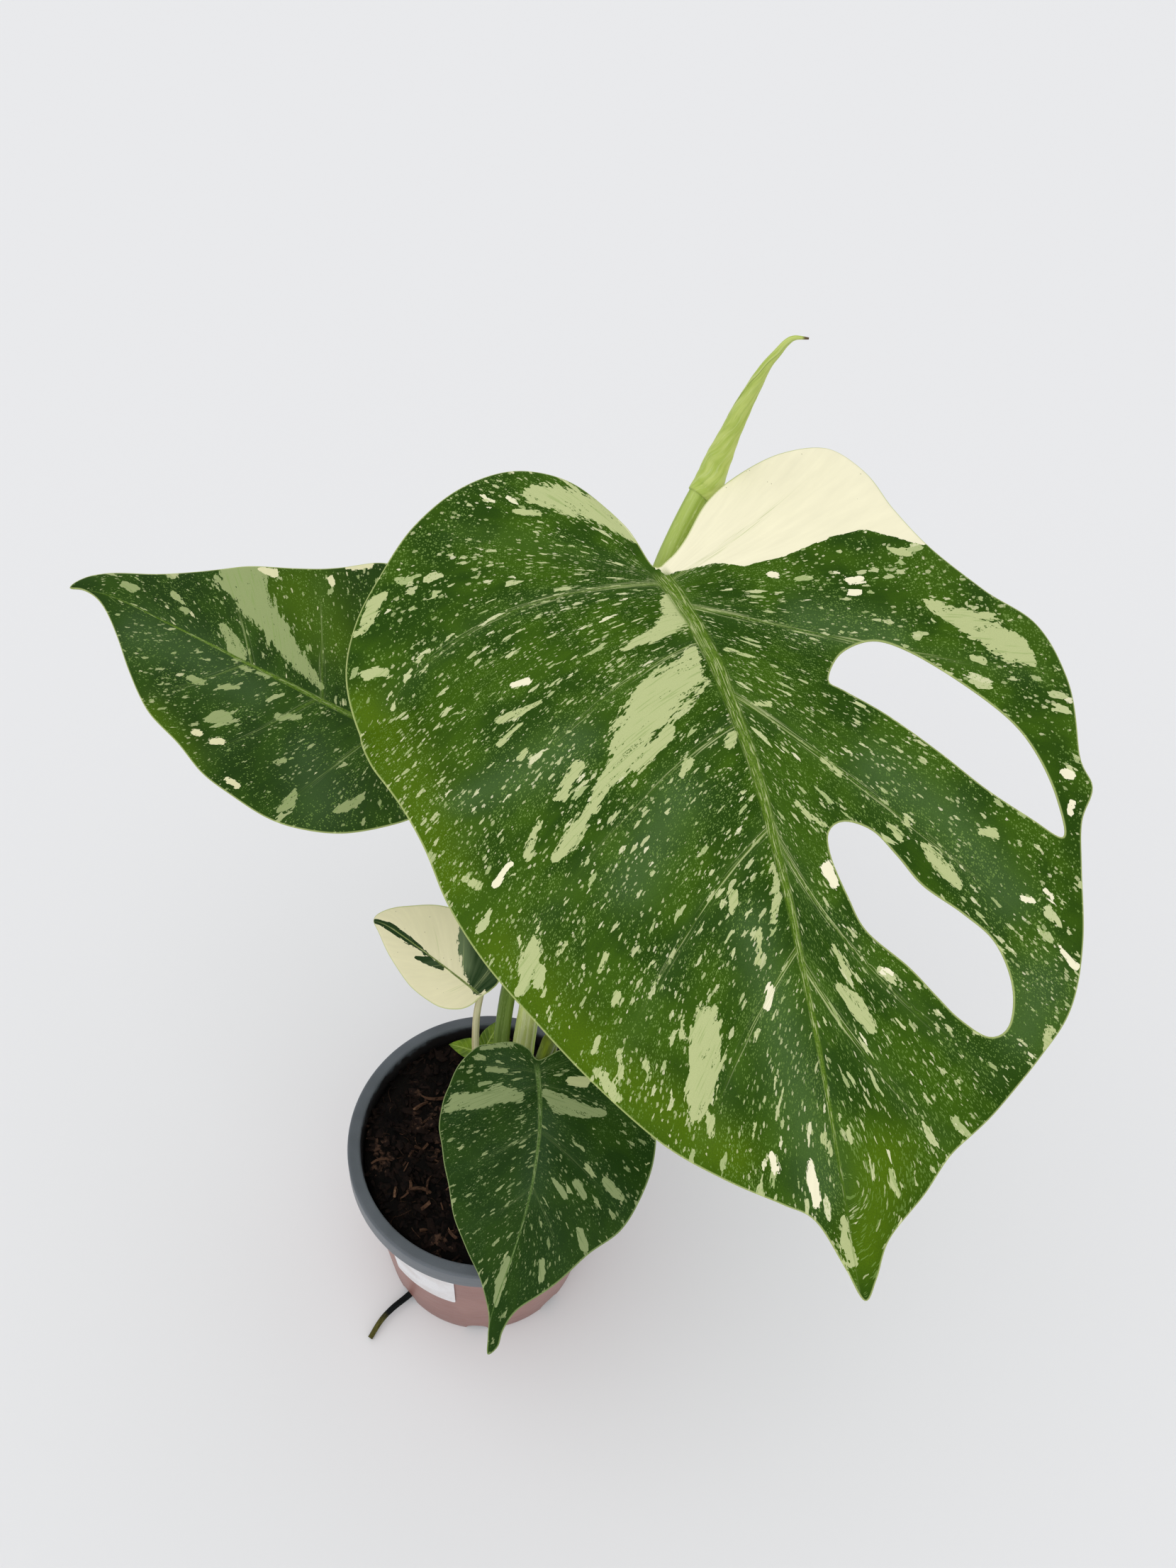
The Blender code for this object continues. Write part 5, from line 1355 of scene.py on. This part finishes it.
def turnedMesh(name, profile, sides, field):
    # profile rows are (radius, height, field value), axis to axis, up the outer side
    verts, faces, rows, values = [], [], [], []
    for radius, height, value in profile:
        first = len(verts)
        around = sides if radius else 1
        for k in range(around):
            angle = 2 * math.pi * k / sides
            verts.append((radius * mm * math.cos(angle), radius * mm * math.sin(angle), height * mm))
        rows.append([first + k % around for k in range(sides)])
        values += [value] * around
    for low, high in zip(rows, rows[1:]):
        for k in range(sides):
            n = (k + 1) % sides
            faces.append(list(dict.fromkeys([low[k], low[n], high[n], high[k]])))
    mesh = bpy.data.meshes.new(name)
    mesh.from_pydata(verts, [], faces)
    storeValues(mesh, {field: values})
    return mesh


def makeNotchTree():
    takes = {"Count": 8, "Ring radius": 0.044, "Notch radius": 0.005, "Length": 0.016, "Rise": 0.001,
             "Phase": 0.07, "Skin": "material"}
    tree, given, result = growTree("ring of notches", takes)
    index = put("GeometryNodeInputIndex").outputs[0]
    angle = scaled(calc("DIVIDE", index, given["Count"]), 2 * math.pi, given["Phase"])
    x, y = [times(calc(wave, angle), given["Ring radius"]) for wave in ("COSINE", "SINE")]
    points = wire("GeometryNodePoints", {"Count": given["Count"], "Position": joined(x, y, given["Rise"])})
    bar = wire("GeometryNodeMeshCylinder", {"Vertices": 40, "Radius": given["Notch radius"],
                                            "Depth": given["Length"]})
    sources = {"Points": points.outputs[0], "Instance": bar.outputs["Mesh"],
               "Rotation": turned(0.0, math.pi / 2, angle)}
    place = wire("GeometryNodeInstanceOnPoints", sources)
    finishTree(place.outputs[0], given["Skin"], result["Geometry"])
    return tree


def potProfile():
    height, floor, rounding = pot["height"], pot["floor"], pot["rounding"]
    shoulder = height - pot["rimThick"]
    rim, foot = pot["rimRadius"], height - pot["collar"]
    skirt, inner = rim - pot["skirtThick"], rim - pot["lipWidth"]
    innerFloor = outerWall(floor) - pot["wall"]
    profile = [(0, 0, 0), (30, 0, 0), (44, 0, 0)]
    profile += cornerArc(pot["baseRadius"] - rounding, rounding, rounding, -90, 0, 0)[:-1]
    profile += [(outerWall(z), z, 0) for z in np.linspace(rounding, foot - 1, 24)]
    profile += [(outerWall(shoulder), shoulder - 0.4, 0.5), (outerWall(shoulder) + 0.4, shoulder, 1)]
    profile += [(skirt, shoulder, 1), (skirt, foot + 0.3, 1)]
    profile += cornerArc(skirt + 0.4, foot + 0.4, 0.4, 180, 270, 1, 3)
    profile += cornerArc(rim - 0.5, foot + 0.5, 0.5, -90, 0, 1)
    profile += [(rim, foot + 3, 1), (rim, foot + 6, 1)]
    profile += cornerArc(rim - rounding, height - rounding, rounding, 0, 90, 1, 7)
    profile += [(rim - 2.6, height, 1)]
    profile += cornerArc(inner + rounding, height - rounding, rounding, 90, 180, 1, 7)
    profile += [(inner + (innerFloor - inner) * t, height - rounding + (floor + rounding - height) * t, 1)
                for t in np.linspace(0.04, 1, 22)]
    return profile + [(30, floor, 1), (0, floor, 1)]


def makePot(material):
    mesh = turnedMesh("pot_shell", potProfile(), pot["sides"], "collarTone")
    piece = newObject("pot_shell", mesh, material)
    values = {"Count": pot["notches"], "Ring radius": (pot["baseRadius"] - pot["notchInset"]) * mm,
              "Notch radius": pot["notchRadius"] * mm, "Length": pot["notchLength"] * mm,
              "Rise": pot["notchRise"] * mm, "Phase": math.radians(pot["notchPhase"]), "Skin": material}
    cutter = grown("notch_cutter", bpy.data.meshes.new("notch_seed"), makeNotchTree(), values)
    carve = piece.modifiers.new("notches", "BOOLEAN")
    carve.object = cutter
    carve.solver = "EXACT"
    carved = plainMesh(piece)
    piece.modifiers.clear()
    piece.data = carved
    bpy.data.objects.remove(cutter, do_unlink=True)
    carved.shade_smooth()
    carved.set_sharp_from_angle(angle=math.radians(40))
    finishPiece(piece, "pot")


def potMaterial():
    # a rosy wall and a slate collar in one moulding, with handling marks, a painted highlight on the
    # collar's outer edge, and the inner wall painted near black: painted shade inside the pot with soil dust
    look = potLook
    material, shader = newMaterial("pottedPlastic", 0.4)
    place = objectPlace()
    x, y, z = apart(place)
    radius = farFromAxis(x, y)
    cloud = grain(place, 40.0, 3.0)
    speck = grain(place, 2600.0)
    rubbed = grain(stretch(place, (120.0, 120.0, 700.0)), 1.0, 3.0, 0.7)
    edge = ramp(plus(radius, times(cloud, 0.0006)), 0.0597, 0.0602)
    # the inner wall below the rim's top is painted near black: painted shade inside the pot, with soil dust
    shadeLineHeight = scaled(grain(place, 260.0, 3.0), 0.008, z)
    innerShadeAndDust = times(ramp(radius, 0.0552, 0.0547), ramp(shadeLineHeight, 0.1035, 0.1005))
    rose = mixColour(ramp(cloud, 0.35, 0.65), look["rose"], look["roseLight"])
    rose = mixColour(ramp(z, 0.03, 0.0, 0.0, 0.35), rose, look["roseFoot"])
    rose = mixColour(ramp(rubbed, 0.62, 0.72, 0.0, 0.35), rose, look["roseRubbed"])
    slate = mixColour(ramp(cloud, 0.35, 0.65), look["slate"], look["slateLight"])
    # painted highlight: the collar's outer edge is made lighter as if lit
    slate = mixColour(times(edge, 0.25), slate, look["slateEdgeHighlight"])
    slate = mixColour(ramp(rubbed, 0.6, 0.7, 0.0, 0.3), slate, look["slateRubbed"])
    slate = mixColour(times(innerShadeAndDust, 0.92), slate, look["innerShadeAndSoil"])
    colour = mixColour(ramp(readField("collarTone"), 0.4, 0.6), rose, slate)
    colour = mixColour(ramp(speck, 0.35, 0.65, 0.12, 0.0), colour, look["speck"])
    height = scaled(speck, 0.5, times(rubbed, 0.3))
    finishSkin(shader, colour, scaled(rubbed, 0.25, 0.28), height, 0.2, 0.0002)
    return material


makePot(potMaterial())


# The blank label on the wall
label = {"start": 229, "end": 263, "top": 76, "height": 33, "thick": 0.28, "gap": 0.25, "corner": 2.2,
         "edgeLift": 0.12, "edgeReach": 1.2, "columns": 44, "rows": 36,
         "paper": (236, 235, 236), "stain": (224, 220, 219), "fibre": (206, 203, 204)}


def makeLabel(material):
    columns, rows = label["columns"], label["rows"]
    middle = label["top"] - label["height"] / 2
    width = math.radians(label["end"] - label["start"]) * outerWall(middle)
    half, tall, corner = width / 2, label["height"] / 2, label["corner"]
    verts = []
    for face in (0, 1):
        for j in range(rows + 1):
            for i in range(columns + 1):
                x, y = (2 * i / columns - 1) * half, (2 * j / rows - 1) * tall
                outX, outY = abs(x) - (half - corner), abs(y) - (tall - corner)
                if outX > 0 and outY > 0:  # round the corners
                    shrink = min(1.0, corner / max(1e-6, math.hypot(outX, outY)))
                    x = math.copysign(half - corner + outX * shrink, x)
                    y = math.copysign(tall - corner + outY * shrink, y)
                angle = math.radians((label["start"] + label["end"]) / 2) + x / outerWall(middle)
                lift = label["edgeLift"] * math.exp(-((half - abs(x)) / label["edgeReach"]) ** 2)
                radius = outerWall(middle + y) + label["gap"] + face * label["thick"] + lift
                verts.append(Vector((radius * math.cos(angle), radius * math.sin(angle), middle + y)) * mm)
    mesh = bpy.data.meshes.new("blank_label")
    mesh.from_pydata(verts, [], sheetFaces(rows, columns))
    facesOut(mesh, 1e-6)
    mesh.shade_smooth()
    mesh.set_sharp_from_angle(angle=math.radians(50))
    finishPiece(newObject("blank_label", mesh, material), "label")


def labelMaterial():
    material, shader = newMaterial("labelPaper", 0.3)
    place = objectPlace()
    fibres = grain(stretch(place, (900.0, 900.0, 500.0)), 1.0, 3.0, 0.7)
    colour = mixColour(ramp(grain(place, 70.0, 3.0), 0.42, 0.66), label["paper"], label["stain"])
    colour = mixColour(ramp(fibres, 0.3, 0.55, 0.3, 0.0), colour, label["fibre"])
    finishSkin(shader, colour, scaled(fibres, 0.2, 0.5), fibres, 0.15, 0.0002)
    return material


makeLabel(labelMaterial())


# The soil: a lumpy bed with loose bark chips and coir on it
soil = {"bottom": 2.3, "top": 92.5, "clear": 0.6, "crown": 1.0, "lump": 1.6, "lumpScale": 95,
        "crumbScale": 260, "grainScale": 620, "dustScale": 1400, "rings": 44, "sides": 168, "rise": 1.6,
        "keepInside": 52.7, "seed": 7}
# what lies on the bed: pieces for each square metre, then metres
soilKinds = [
    {"name": "Bark", "shapes": "chips", "skin": "bark", "density": 105000.0, "tilt": 0.7, "reach": 0.0,
     "small": (0.0007, 0.0007, 0.0008), "large": (0.0024, 0.0022, 0.0020)},
    {"name": "Coir", "shapes": "threads", "skin": "coir", "density": 22000.0, "tilt": 0.35, "reach": 0.0035,
     "small": (0.0025, 0.003, 0.003), "large": (0.006, 0.005, 0.005)},
    {"name": "Flake", "shapes": "chips", "skin": "bark", "density": 16000.0, "tilt": 0.5, "reach": 0.002,
     "small": (0.0022, 0.0018, 0.0012), "large": (0.0042, 0.0034, 0.0022)},
    {"name": "Husk", "shapes": "strands", "skin": "husk", "density": 7000.0, "tilt": 0.2, "reach": 0.008,
     "small": (0.0045, 0.006, 0.006), "large": (0.009, 0.013, 0.011)},
]
soilLook = {
    "bed": {"dark": (3, 2, 1), "middle": (9, 6, 4), "light": (28, 20, 15), "scale": 900.0},
    "bark": {"dark": (8, 5, 4), "middle": (26, 17, 13), "light": (74, 54, 42), "scale": 420.0},
    "coir": {"dark": (24, 15, 10), "middle": (46, 32, 23), "light": (88, 65, 48), "scale": 700.0},
    "husk": {"dark": (42, 28, 20), "middle": (76, 54, 40), "light": (116, 88, 66), "scale": 500.0},
}


def makeSoilBed():
    inside = lambda z: outerWall(z) - pot["wall"] - soil["clear"]
    edge = inside(soil["top"])
    profile = [(0, soil["bottom"], 0), (25, soil["bottom"], 0), (inside(soil["bottom"]), soil["bottom"], 0)]
    profile += [(inside(z), z, 0) for z in np.linspace(8, soil["top"] - 2, 16)]
    profile += [(edge, soil["top"] - 0.6, 0)]
    profile += [(edge * (1 - k / soil["rings"]), soil["top"], 1) for k in range(1, soil["rings"])]
    profile += [(0, soil["top"], 1)]
    mesh = turnedMesh("soil_seed", profile, soil["sides"], "topSoil")
    for vertex in mesh.vertices:
        spot = vertex.co
        if spot.z < (soil["top"] - 0.3) * mm:
            continue
        lump = noise.noise(spot * soil["lumpScale"]) + 0.6 * noise.noise(spot * soil["crumbScale"])
        fine = noise.noise(spot * soil["grainScale"]) + 0.6 * noise.noise(spot * soil["dustScale"])
        inward = 1 - math.hypot(spot.x, spot.y) / (edge * mm)
        vertex.co.z += (soil["lump"] * (lump + 0.45 * fine) * min(1.0, 4 * inward) + soil["crown"] * inward
                        + soil["rise"] * min(1.0, 12 * inward)) * mm
    return mesh


def barkChip(number):
    # a broken flake of bark, a few dozen faces
    bm = bmesh.new()
    bmesh.ops.create_icosphere(bm, subdivisions=1, radius=1.0)
    for vertex in bm.verts:
        push = 0.75 + 0.5 * noise.noise(vertex.co * 1.7 + Vector((7.1 * number, 0, 0)))
        vertex.co = vertex.co * push
        vertex.co.x *= 1.7
        vertex.co.z = math.copysign(min(abs(vertex.co.z), 0.55), vertex.co.z) * 0.7
    mesh = bpy.data.meshes.new("bark_chip")
    bm.to_mesh(mesh)
    bm.free()
    return newObject(mesh.name, mesh)


def coirFibre(number, girth=0.035, sway=0.5):
    # a thin bent thread, three-sided
    verts, faces, count = [], [], 9
    for i in range(count):
        t = i / (count - 1)
        bend = Vector(((t - 0.5) * 2, sway * math.sin(3.1 * t + number),
                       0.18 * math.sin(5 * t + 2 * number)))
        for k in range(3):
            angle = 2 * math.pi * k / 3
            verts.append(bend + Vector((0, math.cos(angle), math.sin(angle))) * girth * (1.1 - t * 0.6))
    for i in range(count - 1):
        for k in range(3):
            n = (k + 1) % 3
            faces.append((i * 3 + k, i * 3 + n, i * 3 + 3 + n, i * 3 + 3 + k))
    faces += [(2, 1, 0), (count * 3 - 3, count * 3 - 2, count * 3 - 1)]
    mesh = bpy.data.meshes.new("coir_thread")
    mesh.from_pydata(verts, [], faces)
    facesOut(mesh)
    return newObject(mesh.name, mesh)


def makeScatterTree(shapes):
    # strews copies of a few pieces over the top of the bed and joins them to it
    takes = {"Seed": 7, "Keep inside": 0.05, "Bed": "material"}
    for kind in soilKinds:
        takes.update({kind["name"] + " skin": "material", kind["name"] + " density": 1000.0})
    tree, given, result = growTree("strewn soil", takes)
    gather = wire("GeometryNodeJoinGeometry", {0: dressed(given["Geometry"], given["Bed"])})
    x, y, _ = apart(put("GeometryNodeInputPosition").outputs[0])
    radius = farFromAxis(x, y)
    top = calc("GREATER_THAN", namedField("topSoil"), 0.5)

    def chance(form, low, high, seed):
        node = put("FunctionNodeRandomValue", data_type=form)
        lowest, highest, _, seedSocket = [socket for socket in node.inputs if socket.enabled]
        lowest.default_value, highest.default_value = low, high
        feed(plus(given["Seed"], float(seed)), seedSocket)
        return [socket for socket in node.outputs if socket.enabled][0]

    for number, kind in enumerate(soilKinds):
        inside = calc("LESS_THAN", radius, minus(given["Keep inside"], kind["reach"]))
        strew = wire("GeometryNodeDistributePointsOnFaces", {
            "Mesh": given["Geometry"], "Selection": times(inside, top),
            "Density": given[kind["name"] + " density"], "Seed": plus(given["Seed"], float(number))})
        pool = put("GeometryNodeJoinGeometry")
        for shape in shapes[kind["shapes"]]:
            info = wire("GeometryNodeObjectInfo", {"Object": shape})
            single = wire("GeometryNodeGeometryToInstance", {0: info.outputs["Geometry"]})
            feed(single.outputs[0], pool.inputs[0])
        tilt, last = kind["tilt"], len(shapes[kind["shapes"]]) - 1
        turn = wire("FunctionNodeEulerToRotation", {
            0: chance("FLOAT_VECTOR", (-tilt, -tilt, 0.0), (tilt, tilt, 6.283), 30 + number)})
        place = wire("GeometryNodeInstanceOnPoints", {
            "Points": strew.outputs["Points"], "Instance": pool.outputs[0], "Pick Instance": True,
            "Instance Index": chance("INT", 0, last, 20 + number), "Rotation": turn.outputs[0],
            "Scale": chance("FLOAT_VECTOR", kind["small"], kind["large"], 40 + number)})
        finishTree(place.outputs[0], given[kind["name"] + " skin"], gather.inputs[0])
    feed(gather.outputs[0], result["Geometry"])
    return tree


def makeSoil(skins):
    shapes = {"chips": [barkChip(k) for k in range(5)], "threads": [coirFibre(k) for k in range(3)],
              "strands": [coirFibre(k, 0.085, 0.25) for k in range(4)]}
    values = {"Seed": soil["seed"], "Keep inside": soil["keepInside"] * mm, "Bed": skins["bed"]}
    for kind in soilKinds:
        values[kind["name"] + " skin"] = skins[kind["skin"]]
        values[kind["name"] + " density"] = kind["density"]
    piece = grown("soil_bed", makeSoilBed(), makeScatterTree(shapes), values)
    for shape in sum(shapes.values(), []):
        bpy.data.objects.remove(shape, do_unlink=True)
    finishPiece(piece, "soil")


def soilMaterial(name, look):
    material, shader = newMaterial(name + "Soil", 0.08)
    place = objectPlace()
    crumbs = grain(place, look["scale"], 4.0, 0.7)
    tone = scaled(grain(place, look["scale"] * 0.16), 0.6, times(crumbs, 0.6))
    colour = mixColour(ramp(tone, 0.48, 0.62), look["dark"], look["middle"])
    colour = mixColour(ramp(tone, 0.66, 0.76), colour, look["light"])
    finishSkin(shader, colour, scaled(crumbs, 0.3, 0.65), crumbs, 0.6, 0.0006)
    return material


makeSoil({name: soilMaterial(name, look) for name, look in soilLook.items()})
